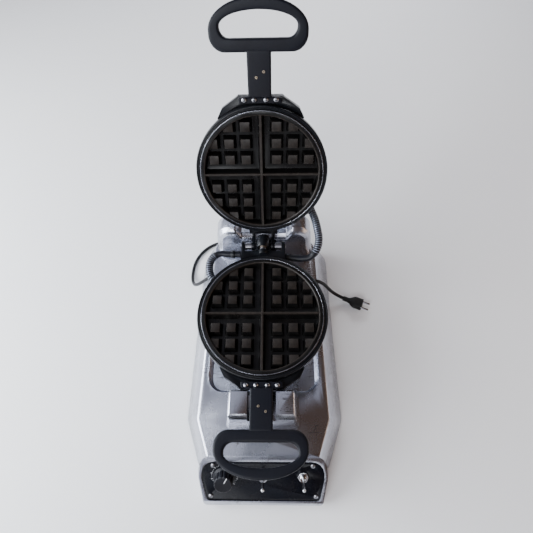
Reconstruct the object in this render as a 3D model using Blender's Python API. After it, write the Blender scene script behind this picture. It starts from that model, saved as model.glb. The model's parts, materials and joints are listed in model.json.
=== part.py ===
"""Rotary waffle iron on a cast base, standing open.

Frame: metres, +Z up, Z = 0 on the table. X = 0 is the plane of symmetry and -Y is the front, with the panel.
The chassis empty sits on the table under the centre of the lower grid plate, so the base's numbers are measured
along Y from that centre and along Z from the table. The flip axis runs along Y through the mating plane of the
two grid plates, and the iron's numbers are measured from the plate's centre on that plane. The lid is modelled
closed, measured from its hinge line, and the hinge empty turns it open.
"""

import math

import bmesh
import bpy
from mathutils import Matrix, Vector

# ---- overall places
PLATE_Y = -0.0179          # centre of the lower plate along Y, which centres the whole part on Y = 0
MATE_Z = 0.162             # mating plane of the two plates above the table
LID_OPEN = math.radians(116.4)
ROUND = 48                 # facets of the rims and plates
GAP = 0.0003               # between faces that touch on the real object
RUN = 0.0008               # running clearance of pieces that turn past each other

# ---- base housing
SKIRT_Z = 0.004            # lower edge of the housing
DECK_Z = 0.067
WALL = 0.0035
BASE_FRONT = 0.264         # from the plate centre to the front lip
BASE_REAR = 0.200
BASE_HALF = 0.134          # half width at the widest place of the skirt
DECK_HALF = 0.106
SKIRT_CORNERS = ((0.107, -0.213, 0.006), (BASE_HALF, -0.139, 0.018),
                 (BASE_HALF - 0.005, 0.049, 0.06), (BASE_HALF - 0.007, BASE_REAR, 0.03))
DECK_CORNERS = ((0.086, -0.200, 0.005), (DECK_HALF, -0.145, 0.014),
                (DECK_HALF - 0.006, 0.049, 0.06), (DECK_HALF - 0.009, BASE_REAR - 0.008, 0.022))
DECK_ROUND = 0.004
BASIN_HALF, BASIN_FRONT, BASIN_REAR = 0.093, -0.104, 0.082
BASIN_DEPTH, BASIN_DRAFT, BASIN_CORNER = 0.017, 0.006, 0.026
FOOT_RADIUS, FOOT_PLACES = 0.010, ((0.098, -0.150), (0.098, 0.150))
COVER_THICK = 0.002

# ---- control panel, measured in its own plane from the middle of its upper edge
PANEL_SLOPE = math.radians(40)
PANEL_Y = -0.203
PANEL_LENGTH, PANEL_THICK, BEZEL_RISE, BEZEL_RIM = 0.070, 0.0018, 0.0022, 0.005
PANEL_TOP_HALF, PANEL_MID_HALF, PANEL_LOW_HALF = 0.092, 0.094, 0.087
PANEL_CORNER = 0.020
CONTROL_ROW = 0.026        # knob and switches, down the slope
KNOB_X, SWITCH_X = -0.059, 0.0615
KNOB_RADIUS, KNOB_HEIGHT, KNOB_SHAFT = 0.0175, 0.019, 0.003
TOGGLE_BUSH, TOGGLE_RISE, TOGGLE_TILT = 0.0058, 0.008, math.radians(13)
NUT_CORNER = TOGGLE_BUSH + 0.003
SCREW_HEAD, SCREW_SHANK = 0.0034, 0.0016

# ---- plates, rims and casings: radius, and depth away from the mating plane
RIM_RADIUS = 0.1015
RIM_WIDTH = 0.0052
RIM_DEPTH = 0.014
PLATE_RADIUS = RIM_RADIUS - RIM_WIDTH - GAP
PLATE_BACK_RADIUS = PLATE_RADIUS - 0.006
CAVITY_RADIUS = 0.088
CAVITY_DEPTH, PLATE_DEPTH = 0.0155, 0.020
RIDGE_BASE, RIDGE_TOP = 0.010, 0.003
STUD_FIRST, STUD_PITCH, STUD_BASE, STUD_TOP, STUD_DEPTH = 0.023, 0.0244, 0.0205, 0.0135, 0.0025
CASING_RADIUS, CASING_BACK, CASING_DEPTH, CASING_WALL = 0.098, 0.090, 0.050, 0.0016
ELEMENT_RADIUS, ELEMENT_TUBE, ELEMENT_DEPTH = 0.062, 0.004, 0.028

# ---- handles and their brackets
STEM_HALF, STEM_DEPTH, MATE_CLEAR = 0.0160, 0.012, 0.0005
HANDLE_HALF, HANDLE_BAR = 0.0638, 0.0140
EYE_RADIUS, EYE_PLACES = 0.0016, ((-0.004, 0.024), (0.006, 0.031))
HANDLE_NEAR, HANDLE_FAR = 0.166, 0.226
HANDLE_CORNER = 0.020
FOOT_HALF, FOOT_NEAR, FOOT_FAR, FOOT_DEPTH = 0.030, 0.1030, 0.1125, 0.0045
BRACKET_HALF, BRACKET_BLOCK, BRACKET_OUT, BRACKET_DEPTH = 0.063, 0.036, 0.1110, 0.027
BRACKET_SCREWS = (-0.0225, -0.0082, 0.0082, 0.0225)

# ---- cradle for the lower stem
CHANNEL_HALF = 0.0205
CRADLE_TOP_DROP, CHANNEL_DROP = 0.010, 0.026
CRADLE_HALF, CRADLE_FOOT_HALF = 0.047, 0.058
CRADLE_REAR, CRADLE_FRONT = -0.1135, -0.1525
CRADLE_WALL = 0.004

# ---- hinge, yoke and flip bearing
HINGE_Y, HINGE_Z = 0.1246, -0.0095
PIN_RADIUS, PIN_IN, YOKE_HALF, CHEEK = 0.0035, 0.0131, 0.037, 0.0055
CROSS_FAR = 0.1103          # the lid's crosspiece swings round the bearing's barrel with room to spare
YOKE_NEAR, YOKE_FAR, YOKE_DROP = 0.1022, 0.1105, 0.030
ARM_IN, ARM_OUT, ARM_EYE = 0.0135, 0.0195, 0.0072
SHAFT_RADIUS, BUSH_WALL, BARREL_RADIUS = 0.0055, 0.0018, 0.0105
BARREL_NEAR, BARREL_FAR, PEDESTAL_HALF = 0.1155, 0.1365, 0.008

# ---- rear tower
TOWER_FRONT, TOWER_REAR = 0.150, 0.192
TOWER_FOOT_HALF, TOWER_TOP_HALF, TOWER_TOP = 0.091, 0.085, 0.160
TOWER_SHOULDER, TOWER_SADDLE, SADDLE_HALF = 0.032, 0.140, 0.040
TOWER_WALL = 0.003

# ---- conduits and mains lead
CONDUIT_RADIUS, FERRULE_RADIUS, FERRULE_LENGTH = 0.0056, 0.0072, 0.007
CORD_RADIUS = 0.0033
COIL_X, COIL_Y, COIL_MEAN, COIL_HALF, COIL_HEIGHT = 0.012, 0.262, 0.0370, 0.0070, 0.0140
GLAND_X, GLAND_Z = -0.050, 0.088


# ---------------------------------------------------------------- helpers

def to_mesh(work, name="shape"):
    bmesh.ops.recalc_face_normals(work, faces=work.faces)
    mesh = bpy.data.meshes.new(name)
    work.to_mesh(mesh)
    work.free()
    return mesh


def loft(loops):
    """Closed solid through loops of equal point count, with a flat cap at each end."""
    work = bmesh.new()
    rings = [[work.verts.new(p) for p in loop] for loop in loops]
    count = len(rings[0])
    for low, high in zip(rings, rings[1:]):
        for i in range(count):
            j = (i + 1) % count
            work.faces.new((low[i], low[j], high[j], high[i]))
    work.faces.new(rings[0][::-1])
    work.faces.new(rings[-1])
    return to_mesh(work)


def prism(outline, low, high):
    """An outline in X and Y, extruded from low to high along Z."""
    return loft([[(x, y, z) for x, y in outline] for z in (low, high)])


def box(low, high):
    (x0, y0, z0), (x1, y1, z1) = low, high
    return prism(((x0, y0), (x1, y0), (x1, y1), (x0, y1)), z0, z1)


def lathe(profile, steps=48):
    """Solid turned about Z from (radius, height) pairs; one that starts and ends on the axis closes there."""
    work = bmesh.new()
    columns = []
    for radius, height in profile:
        if radius == 0:
            columns.append([work.verts.new((0, 0, height))] * steps)
            continue
        turn = [2 * math.pi * i / steps for i in range(steps)]
        columns.append([work.verts.new((radius * math.cos(a), radius * math.sin(a), height)) for a in turn])
    pairs = list(zip(columns, columns[1:]))
    if profile[0][0] > 0:
        pairs.append((columns[-1], columns[0]))
    for a, b in pairs:
        for i in range(steps):
            j = (i + 1) % steps
            face = list(dict.fromkeys((a[i], a[j], b[j], b[i])))
            work.faces.new(face)
    return to_mesh(work)


def rod(radius, low, high, steps=20, edge=0.0):
    """A round bar along Z, with its edges broken by edge."""
    if not edge:
        return lathe(((0, low), (radius, low), (radius, high), (0, high)), steps)
    return lathe(((0, low), (radius - edge, low), (radius, low + edge), (radius, high - edge),
                  (radius - edge, high), (0, high)), steps)


def moved(mesh, location=(0, 0, 0), turn=(0, 0, 0)):
    """The mesh turned about X, then Y, then Z, and moved."""
    x, y, z = (Matrix.Rotation(a, 4, axis) for a, axis in zip(turn, "XYZ"))
    mesh.transform(Matrix.Translation(location) @ z @ y @ x)
    return mesh


def holder(mesh):
    thing = bpy.data.objects.new("tool", mesh)
    bpy.context.scene.collection.objects.link(thing)
    return thing


def combine(mesh, tool, operation="DIFFERENCE"):
    """One exact Boolean of two meshes in the same frame."""
    body, cutter = holder(mesh), holder(tool)
    step = body.modifiers.new("combine", "BOOLEAN")
    step.operation, step.solver, step.object = operation, "EXACT", cutter
    bpy.context.view_layer.update()
    graph = bpy.context.evaluated_depsgraph_get()
    result = bpy.data.meshes.new_from_object(body.evaluated_get(graph))
    bpy.data.objects.remove(body)
    bpy.data.objects.remove(cutter)
    return result


def joined(first, *others):
    for other in others:
        first = combine(first, other, "UNION")
    return first


def cut(first, *tools):
    for tool in tools:
        first = combine(first, tool)
    return first


def offset(corners, inset):
    """A convex-cornered outline of (x, y, radius) moved inwards by inset."""
    moved_corners, count = [], len(corners)
    for i, (x, y, radius) in enumerate(corners):
        before, after = corners[i - 1], corners[(i + 1) % count]
        a = Vector((x - before[0], y - before[1])).normalized()
        b = Vector((after[0] - x, after[1] - y)).normalized()
        inner_a, inner_b = Vector((-a.y, a.x)), Vector((-b.y, b.x))
        along = (inner_a + inner_b) / (1 + inner_a.dot(inner_b))
        moved_corners.append((x + inset * along.x, y + inset * along.y, max(radius - inset, 0.001)))
    return moved_corners


def rounded(corners, steps=5):
    """Outline points of a counter-clockwise polygon whose corners (x, y, radius) are arcs of steps points."""
    points, count = [], len(corners)
    for i, (x, y, radius) in enumerate(corners):
        here = Vector((x, y))
        back = (Vector(corners[i - 1][:2]) - here).normalized()
        on = (Vector(corners[(i + 1) % count][:2]) - here).normalized()
        half = back.angle(on) / 2
        reach = radius / math.tan(half)
        centre = here + (back + on).normalized() * (radius / math.sin(half))
        start, end = here + back * reach - centre, here + on * reach - centre
        sweep = start.angle_signed(end)
        for k in range(steps):
            turn = Matrix.Rotation(-sweep * k / (steps - 1), 2)
            points.append(tuple(centre + turn @ start))
    return points


def mirrored(right):
    """Right-hand corners from front to rear, closed with their mirror, counter-clockwise from above."""
    return list(right) + [(-x, y, r) for x, y, r in reversed(right)]


def round_box(half, near, far, radius):
    return [(half, near, radius), (half, far, radius), (-half, far, radius), (-half, near, radius)]


def finish(name, colour, roughness, metallic=0.0):
    made = bpy.data.materials.new(name)
    made.use_nodes = True
    shader = made.node_tree.nodes["Principled BSDF"]
    shader.inputs["Base Color"].default_value = (*colour, 1)
    shader.inputs["Roughness"].default_value = roughness
    shader.inputs["Metallic"].default_value = metallic
    return made


def empty(name, location, parent=None, turn=(0, 0, 0)):
    made = bpy.data.objects.new(name, None)
    bpy.context.scene.collection.objects.link(made)
    made.parent, made.location, made.rotation_euler = parent, location, turn
    return made


def node(name, mesh, look, parent, location=(0, 0, 0), turn=(0, 0, 0), smooth=True):
    """One named sub-part; round faces are smooth and edges over 30 degrees stay sharp."""
    made = bpy.data.objects.new(name, mesh)
    bpy.context.scene.collection.objects.link(made)
    made.parent, made.location, made.rotation_euler = parent, location, turn
    mesh.materials.clear()
    mesh.materials.append(look)
    if smooth:
        mesh.shade_smooth()
        mesh.set_sharp_from_angle(angle=math.radians(30))
    return made


# ---------------------------------------------------------------- base

def base_outline(height, inset):
    """The housing's outline at a height, between the skirt's corners and the deck's."""
    share = (height - SKIRT_Z) / (DECK_Z - SKIRT_Z)
    right = [tuple(a + (b - a) * share for a, b in zip(low, high))
             for low, high in zip(SKIRT_CORNERS, DECK_CORNERS)]
    return [(x, y, height) for x, y in rounded(offset(mirrored(right), inset))]


def bezel_corners():
    """Plan of the front block: the panel's outline, seen from above, and the bezel round it."""
    fall = math.cos(PANEL_SLOPE)
    rear = PANEL_Y + BEZEL_RIM + 0.002
    return mirrored([(PANEL_LOW_HALF + BEZEL_RIM + 0.001, -BASE_FRONT, 0.006),
                     (PANEL_MID_HALF + BEZEL_RIM, PANEL_Y - 0.030 * fall, 0.030),
                     (PANEL_TOP_HALF + BEZEL_RIM, rear, PANEL_CORNER)])


def front_block(inset, low, drop):
    """The sloping block under the panel: its side profile, cut to its plan."""
    tan = math.tan(PANEL_SLOPE)
    rise = (BEZEL_RISE - drop) / math.cos(PANEL_SLOPE)
    slope = [(y, DECK_Z + rise + (y - PANEL_Y) * tan) for y in (-BASE_FRONT + 0.003 + inset, PANEL_Y + 0.0015)]
    front, rear = -BASE_FRONT + inset, PANEL_Y + 0.03
    side = [(front, low), (rear, low), (rear, slope[1][1]), slope[1], slope[0], (front, slope[0][1] - 0.004)]
    bar = loft([[(x, y, z) for y, z in side] for x in (-0.2, 0.2)])
    plan = prism(rounded(offset(bezel_corners(), inset)), low - 0.01, DECK_Z + 0.03)
    return combine(bar, plan, "INTERSECT")


def basin(grow):
    """The sunk basin below the iron, with drafted walls; grow is the wall kept round it inside the housing."""
    floor = DECK_Z - BASIN_DEPTH - grow
    loops = []
    for height, inset in ((floor, BASIN_DRAFT), (DECK_Z - 0.002, 0.0015), (DECK_Z + 0.003, 0.0)):
        corners = round_box(BASIN_HALF, BASIN_FRONT, BASIN_REAR, BASIN_CORNER)
        loops.append([(x, y, height) for x, y in rounded(offset(corners, inset - grow), 7)])
    return loft(loops)


def panel_corners():
    return mirrored([(PANEL_LOW_HALF, -PANEL_LENGTH, 0.006), (PANEL_MID_HALF, -0.030, 0.030),
                     (PANEL_TOP_HALF, 0.0, PANEL_CORNER)])


def in_panel(mesh):
    """A mesh from the panel's own plane into the chassis frame."""
    return moved(mesh, (0, PANEL_Y, DECK_Z), (PANEL_SLOPE, 0, 0))


PANEL_TOP_W = 0.001
PANEL_FLOOR_W = PANEL_TOP_W - PANEL_THICK - GAP


def base_housing():
    outer = loft([base_outline(SKIRT_Z, 0), base_outline(DECK_Z - DECK_ROUND, 0),
                  base_outline(DECK_Z - DECK_ROUND * 0.3, DECK_ROUND * 0.3), base_outline(DECK_Z, DECK_ROUND)])
    outer = joined(outer, front_block(0, SKIRT_Z, 0))
    inner = loft([base_outline(SKIRT_Z - 0.01, WALL), base_outline(DECK_Z - WALL, WALL + 0.001)])
    inner = joined(inner, front_block(WALL, SKIRT_Z - 0.01, BEZEL_RISE - PANEL_FLOOR_W + 0.003))
    inner = cut(inner, basin(WALL))
    shell = cut(outer, basin(0), inner)
    pocket = in_panel(prism(rounded(offset(panel_corners(), -0.0004)), PANEL_FLOOR_W, 0.02))
    opening = round_box(0.082, -CONTROL_ROW - 0.023, -CONTROL_ROW + 0.017, 0.004)
    window = in_panel(prism(rounded(opening), -0.02, 0.02))
    return cut(shell, pocket, window)


def bottom_cover():
    """Flat cover in the housing's open bottom, with the same flare as the wall and a gap all round."""
    low = SKIRT_Z + 0.001
    inset = WALL + 0.0006
    body = loft([base_outline(SKIRT_Z - 0.01, inset), base_outline(DECK_Z - WALL, inset + 0.001)])
    nose = prism(rounded(offset(bezel_corners(), inset)), SKIRT_Z - 0.005, DECK_Z * 0.5)
    slab = box((-0.3, -0.4, low), (0.3, 0.4, low + COVER_THICK))
    return combine(joined(body, nose), slab, "INTERSECT")


def tower_profile(inset):
    """Right half of the tower's outline in X and Z from foot to middle, then its mirror."""
    foot, arc, dip = [], [], []
    half = TOWER_TOP_HALF - inset
    top = TOWER_TOP - inset
    radius = TOWER_SHOULDER - inset
    foot.append((TOWER_FOOT_HALF + 0.002 - inset, DECK_Z - 0.02))
    for k in range(7):
        a = math.radians(90) * k / 6
        arc.append((half - radius + radius * math.cos(a), top - radius + radius * math.sin(a)))
    for k in range(5):
        share = k / 4
        ease = share * share * (3 - 2 * share)
        dip.append((SADDLE_HALF + 0.010 * (1 - share), top - (TOWER_TOP - TOWER_SADDLE) * ease))
    right = foot + arc + dip
    return right + [(-x, z) for x, z in reversed(right)]


def tower_solid(inset):
    stations = ((TOWER_FRONT, 0.010), (TOWER_FRONT + 0.003, 0.0045), (TOWER_FRONT + 0.010, 0.0),
                (TOWER_REAR - 0.006, 0.0), (TOWER_REAR - 0.0015, 0.003), (TOWER_REAR, 0.006))
    near, far = TOWER_FRONT + inset, TOWER_REAR - inset
    loops = [[(x, min(max(y, near), far), z) for x, z in tower_profile(inset + drop)] for y, drop in stations]
    if inset:
        loops = loops[1:-1]
    return loft(loops)


def rear_tower():
    below = box((-0.2, 0, DECK_Z - 0.05), (0.2, 0.3, DECK_Z + GAP))
    return cut(tower_solid(0), tower_solid(TOWER_WALL), below)


def cradle():
    """Cast block with a channel across its top; it is hollow below."""
    top = MATE_Z - CRADLE_TOP_DROP
    low = DECK_Z + GAP

    def ring(height, half, near, far, radius):
        return [(x, y, height) for x, y in rounded(round_box(half, near, far, radius), 4)]

    reach = top - low
    solid = loft([ring(low, CRADLE_FOOT_HALF, CRADLE_FRONT - 0.006, CRADLE_REAR + 0.006, 0.006),
                  ring(low + 0.45 * reach, CRADLE_HALF + 0.005, CRADLE_FRONT - 0.003, CRADLE_REAR + 0.002, 0.005),
                  ring(top - 0.002, CRADLE_HALF, CRADLE_FRONT, CRADLE_REAR, 0.004),
                  ring(top, CRADLE_HALF - 0.002, CRADLE_FRONT + 0.002, CRADLE_REAR - 0.002, 0.003)])
    floor = MATE_Z - CHANNEL_DROP
    channel = box((-CHANNEL_HALF, CRADLE_FRONT - 0.02, floor), (CHANNEL_HALF, CRADLE_REAR + 0.02, top + 0.01))
    slope = 0.0095
    wedge = [(CRADLE_FRONT - 0.02, top - slope - 0.0104), (CRADLE_FRONT + slope + 0.01, top + 0.0096),
             (CRADLE_FRONT - 0.02, top + 0.0096)]
    chamfer = loft([[(x, y, z) for y, z in wedge] for x in (-0.1, 0.1)])
    hollow_top = floor - 0.006
    inner = loft([ring(low - 0.01, CRADLE_FOOT_HALF - CRADLE_WALL, CRADLE_FRONT - 0.006 + CRADLE_WALL,
                       CRADLE_REAR + 0.006 - CRADLE_WALL, 0.003),
                  ring(hollow_top, CRADLE_HALF - CRADLE_WALL, CRADLE_FRONT + CRADLE_WALL,
                       CRADLE_REAR - CRADLE_WALL, 0.003)])
    return cut(solid, channel, chamfer, inner)


def control_panel():
    plate = prism(rounded(panel_corners()), PANEL_TOP_W - PANEL_THICK, PANEL_TOP_W)
    holes = [(KNOB_X, KNOB_SHAFT + 0.0008), (0.0, TOGGLE_BUSH + GAP), (SWITCH_X, TOGGLE_BUSH + GAP)]
    for x, radius in holes:
        plate = cut(plate, moved(rod(radius, -0.01, 0.01), (x, -CONTROL_ROW, 0)))
    return plate


def screw(head, shank, length, dome):
    """Pan-head screw along Z with its seat at 0."""
    return lathe(((0, -length), (shank, -length), (shank, 0), (head, 0), (head, dome * 0.45),
                  (head * 0.7, dome * 0.88), (0, dome)), 12)


def knob_body():
    skirt, grip, top = KNOB_RADIUS, KNOB_RADIUS * 0.80, KNOB_HEIGHT
    solid = lathe(((0, 0.001), (skirt, 0.001), (skirt, 0.004), (grip + 0.0006, 0.0055), (grip, top - 0.0015),
                   (grip - 0.0015, top), (0, top)), 36)
    reach = grip + 0.0006
    flutes = [moved(rod(0.0016, 0.0058, top + 0.002, 8), (math.cos(a) * reach, math.sin(a) * reach, 0))
              for a in (2 * math.pi * k / 12 for k in range(12))]
    return cut(solid, rod(KNOB_SHAFT + GAP, -0.01, 0.013), *flutes)


def build_base(looks, chassis):
    node("base_housing", base_housing(), looks["cast_silver"], chassis)
    node("bottom_cover", bottom_cover(), looks["steel"], chassis)
    foot_top = SKIRT_Z + 0.001 - GAP
    foot = ((0, 0), (FOOT_RADIUS - 0.001, 0), (FOOT_RADIUS, 0.001), (FOOT_RADIUS - 0.001, foot_top), (0, foot_top))
    for side, tag in ((-1, "left"), (1, "right")):
        for (x, y), end in zip(FOOT_PLACES, ("front", "rear")):
            node(f"foot_{end}_{tag}", lathe(foot, 24), looks["rubber"], chassis, (side * x, y, 0))
    node("rear_tower", rear_tower(), looks["cast_silver"], chassis)
    node("front_cradle", cradle(), looks["cast_silver"], chassis)


def build_panel(looks, chassis):
    panel = empty("panel_plane", (0, PANEL_Y, DECK_Z), chassis, (PANEL_SLOPE, 0, 0))
    plate = control_panel()
    places = [(side * x, -along) for side in (-1, 1) for x, along in ((0.076, 0.0075), (0.0815, 0.0620))]
    for x, y in places:
        plate = cut(plate, moved(rod(SCREW_SHANK + GAP, -0.01, 0.01, 16), (x, y, 0)))
    node("control_panel", plate, looks["panel_black"], panel)
    for i, (x, y) in enumerate(places):
        made = screw(SCREW_HEAD, SCREW_SHANK, PANEL_TOP_W - PANEL_FLOOR_W, 0.0018)
        node(f"panel_screw_{i + 1}", made, looks["steel"], panel, (x, y, PANEL_TOP_W + GAP))
    row = -CONTROL_ROW
    back = PANEL_TOP_W - PANEL_THICK - GAP
    case = prism(rounded(round_box(0.0165, -0.0165, 0.0165, 0.003), 3), back - 0.020, back)
    stem = rod(KNOB_SHAFT, back - 0.001, 0.0125, 16)
    node("thermostat", joined(case, stem), looks["steel"], panel, (KNOB_X, row, 0))
    node("thermostat_knob", moved(knob_body(), (0, 0, PANEL_TOP_W)), looks["knob_black"], panel, (KNOB_X, row, 0))
    for x, tag in ((0.0, "centre"), (SWITCH_X, "right")):
        build_toggle(looks, panel, x, row, back, tag)


def build_toggle(looks, panel, x, row, back, tag):
    """Switch case behind the panel with its threaded bush through it, a nut on the bush, and the bat lever."""
    inner = TOGGLE_BUSH - 0.0018
    case = prism(rounded(round_box(0.0065, -0.0100, 0.0100, 0.001), 2), back - 0.016, back)
    bush = lathe(((0, back - 0.001), (TOGGLE_BUSH, back - 0.001), (TOGGLE_BUSH, TOGGLE_RISE - 0.0008),
                  (TOGGLE_BUSH - 0.0008, TOGGLE_RISE), (0, TOGGLE_RISE)), 24)
    cup = lathe(((0, TOGGLE_RISE - 0.007), (inner, TOGGLE_RISE - 0.004), (inner, TOGGLE_RISE + 0.001),
                 (0, TOGGLE_RISE + 0.001)), 24)
    node(f"toggle_switch_{tag}", cut(joined(case, bush), cup), looks["chrome"], panel, (x, row, 0))
    hexagon = [(NUT_CORNER * math.cos(a), NUT_CORNER * math.sin(a)) for a in (math.pi / 3 * k for k in range(6))]
    nut = cut(prism(hexagon, PANEL_TOP_W + GAP, PANEL_TOP_W + 0.0025), rod(TOGGLE_BUSH + GAP, -0.01, 0.01))
    node(f"toggle_nut_{tag}", nut, looks["chrome"], panel, (x, row, 0))
    pivot = empty(f"toggle_pivot_{tag}", (x, row, TOGGLE_RISE - 0.0028), panel, (TOGGLE_TILT, 0, 0))
    bat = lathe(((0, -0.0020), (0.0013, -0.0016), (0.0019, 0), (0.0016, 0.003), (0.0017, 0.008), (0.0026, 0.017),
                 (0.0024, 0.0195), (0.0014, 0.0208), (0, 0.0212)), 16)
    node(f"toggle_lever_{tag}", bat, looks["chrome"], pivot)


# ---------------------------------------------------------------- iron halves

def deep(mesh, side):
    """Turns a mesh whose Z is depth from the mating plane to its half: side is -1 below and 1 above."""
    if side < 0:
        mesh.transform(Matrix.Diagonal((1, 1, -1, 1)))
        mesh.flip_normals()
    return mesh


def pyramid(x, y):
    """One stud of the grid: a square frustum that rises from the cavity's floor."""
    loops = []
    for depth, size in ((STUD_DEPTH, STUD_TOP), (CAVITY_DEPTH + 0.001, STUD_BASE)):
        h = size / 2
        loops.append([(x - h, y - h, depth), (x + h, y - h, depth), (x + h, y + h, depth), (x - h, y + h, depth)])
    return loft(loops)


def ridge(turn):
    """One bar of the cross that quarters the waffle."""
    reach = CAVITY_RADIUS + 0.0012
    loops = []
    for depth, width in ((0.001, RIDGE_TOP), (CAVITY_DEPTH + 0.001, RIDGE_BASE)):
        h = width / 2
        loops.append([(-reach, -h, depth), (reach, -h, depth), (reach, h, depth), (-reach, h, depth)])
    return moved(loft(loops), turn=(0, 0, turn))


def grid_plate(side):
    """Cast plate: a rim band round a round cavity, a cross of ridges and square studs, cut off by the circle."""
    top, step = 0.0003, RIM_DEPTH - 0.0020
    plate = lathe(((0, CAVITY_DEPTH), (CAVITY_RADIUS - 0.002, CAVITY_DEPTH), (CAVITY_RADIUS, 0.0012),
                   (CAVITY_RADIUS + 0.0008, top), (PLATE_RADIUS - 0.0008, top), (PLATE_RADIUS, 0.0012),
                   (PLATE_RADIUS, step), (PLATE_BACK_RADIUS, step), (PLATE_BACK_RADIUS, PLATE_DEPTH),
                   (0, PLATE_DEPTH)), ROUND)
    reach = [STUD_FIRST + k * STUD_PITCH for k in range(3)]
    studs = None
    for x in reach:
        for y in reach:
            if math.hypot(x, y) > CAVITY_RADIUS + STUD_BASE * 0.5:
                continue
            for sx in (-1, 1):
                for sy in (-1, 1):
                    one = pyramid(sx * x, sy * y)
                    if math.hypot(x + STUD_BASE / 2, y + STUD_BASE / 2) > CAVITY_RADIUS:
                        one = combine(one, rod(CAVITY_RADIUS + 0.0013, -0.01, 0.03, ROUND), "INTERSECT")
                    studs = one if studs is None else append(studs, one)
    plate = joined(plate, ridge(0), ridge(math.pi / 2))
    return deep(joined(plate, studs), side)


def append(first, second):
    """Two separate closed shapes in one mesh, used only as a Boolean's tool."""
    work = bmesh.new()
    work.from_mesh(first)
    work.from_mesh(second)
    mesh = bpy.data.meshes.new("shape")
    work.to_mesh(mesh)
    work.free()
    return mesh


def rim_ring(side):
    inner = PLATE_RADIUS + GAP
    ledge = RIM_DEPTH - 0.0020 + GAP
    ring = lathe(((inner, 0.0010), (RIM_RADIUS - 0.0022, 0.0010), (RIM_RADIUS - 0.0006, 0.0018), (RIM_RADIUS, 0.0035),
                  (RIM_RADIUS, RIM_DEPTH), (PLATE_BACK_RADIUS + GAP, RIM_DEPTH), (PLATE_BACK_RADIUS + GAP, ledge),
                  (inner, ledge)), ROUND)
    return deep(ring, side)


def casing(side):
    """Thin pressed pan under the rim, with a rounded edge at its back."""
    top, wall, bend = RIM_DEPTH + GAP, CASING_WALL, 0.010
    outer = [(CASING_RADIUS, top), (CASING_BACK + 0.0015, CASING_DEPTH - bend)]
    for k in range(1, 4):
        a = math.radians(90) * k / 3
        outer.append((CASING_BACK - bend + bend * math.cos(a), CASING_DEPTH - bend + bend * math.sin(a)))
    inner = [(CASING_BACK - bend, CASING_DEPTH - wall), (CASING_BACK - wall - 0.002, CASING_DEPTH - bend),
             (CASING_RADIUS - wall, top)]
    profile = outer + [(0, CASING_DEPTH)] + [(0, CASING_DEPTH - wall)] + inner
    return deep(lathe_shell(profile), side)


def lathe_shell(profile, steps=ROUND):
    """A turned shell whose profile touches the axis in the middle of its list."""
    axis = [i for i, (radius, height) in enumerate(profile) if radius == 0]
    turned = profile[axis[1]:] + profile[:axis[0] + 1]
    return lathe(turned, steps)


def element(side):
    ring = [(ELEMENT_RADIUS + ELEMENT_TUBE * math.cos(a), ELEMENT_DEPTH + ELEMENT_TUBE * math.sin(a))
            for a in (2 * math.pi * k / 6 for k in range(6))]
    return deep(lathe(ring, 24), side)


def handle_outline(half, near, far, corner, rise):
    """A D: straight with round corners on the stem's side, a half ellipse on the far side."""
    middle = far - rise
    points = rounded([(half, -middle, 0.001), (half, -near, corner), (-half, -near, corner), (-half, -middle, 0.001)], 7)
    points = points[6:-6]
    arc = [(-half * math.cos(a), -middle - rise * math.sin(a)) for a in (math.pi * k / 20 for k in range(1, 20))]
    return points + arc


def handle(side):
    """Stem, screwed foot and D-shaped grip in one moulding."""
    low, high = MATE_CLEAR, STEM_DEPTH
    outer = prism(handle_outline(HANDLE_HALF, HANDLE_NEAR, HANDLE_FAR, HANDLE_CORNER, 0.036), low, high)
    inner = prism(handle_outline(HANDLE_HALF - HANDLE_BAR, HANDLE_NEAR + HANDLE_BAR + 0.002, HANDLE_FAR - HANDLE_BAR,
                                 HANDLE_CORNER - 0.008, 0.017), low - 0.01, high + 0.01)
    stem = box((-STEM_HALF, -HANDLE_NEAR - 0.004, low), (STEM_HALF, -FOOT_FAR + 0.0008, high))
    foot = box((-FOOT_HALF, -FOOT_FAR, FOOT_DEPTH), (FOOT_HALF, -FOOT_NEAR, high))
    body = cut(joined(outer, stem, foot), inner)
    for x in BRACKET_SCREWS:
        body = cut(body, moved(rod(SCREW_SHANK + GAP, 0, 0.02, 16), (x, -(FOOT_NEAR + FOOT_FAR) / 2, 0)))
    eyes = [moved(rod(EYE_RADIUS, -0.01, 0.03, 16), (x, -FOOT_FAR - y, 0)) for x, y in EYE_PLACES]
    return deep(cut(body, *eyes), side)


def bracket(side):
    """Collar that follows the rim with cut-off ends, and the thicker block that the handle is screwed to."""
    low, high = STEM_DEPTH + GAP, BRACKET_DEPTH
    plan = [(BRACKET_HALF - 0.004, -0.0745), (BRACKET_HALF, -0.0815), (BRACKET_HALF - 0.007, -0.0945),
            (BRACKET_BLOCK, -BRACKET_OUT + 0.0035), (BRACKET_BLOCK - 0.004, -BRACKET_OUT)]
    outline = [(-x, y) for x, y in plan] + [(x, y) for x, y in reversed(plan)]
    block = prism(outline, low, high)
    rim = rod(RIM_RADIUS + 2 * GAP, -0.01, RIM_DEPTH + GAP, ROUND)
    pan = moved(lathe(((0, RIM_DEPTH), (RIM_RADIUS + GAP, RIM_DEPTH), (CASING_RADIUS + GAP, RIM_DEPTH + GAP),
                       (CASING_RADIUS - 0.0015, high + 0.01), (0, high + 0.01)), ROUND))
    body = cut(block, rim, pan)
    for x in BRACKET_SCREWS:
        body = cut(body, moved(rod(SCREW_SHANK + GAP, 0, 0.0245, 16), (x, -(FOOT_NEAR + FOOT_FAR) / 2, 0)))
    return deep(body, side)


def bracket_screw(side):
    """Its head stands on the handle's foot, below the mating plane, and its shank reaches into the bracket."""
    made = screw(0.0034, SCREW_SHANK, 0.019, 0.0026)
    made.transform(Matrix.Diagonal((1, 1, -1, 1)))
    made.flip_normals()
    return deep(moved(made, (0, 0, FOOT_DEPTH - GAP)), side)


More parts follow.
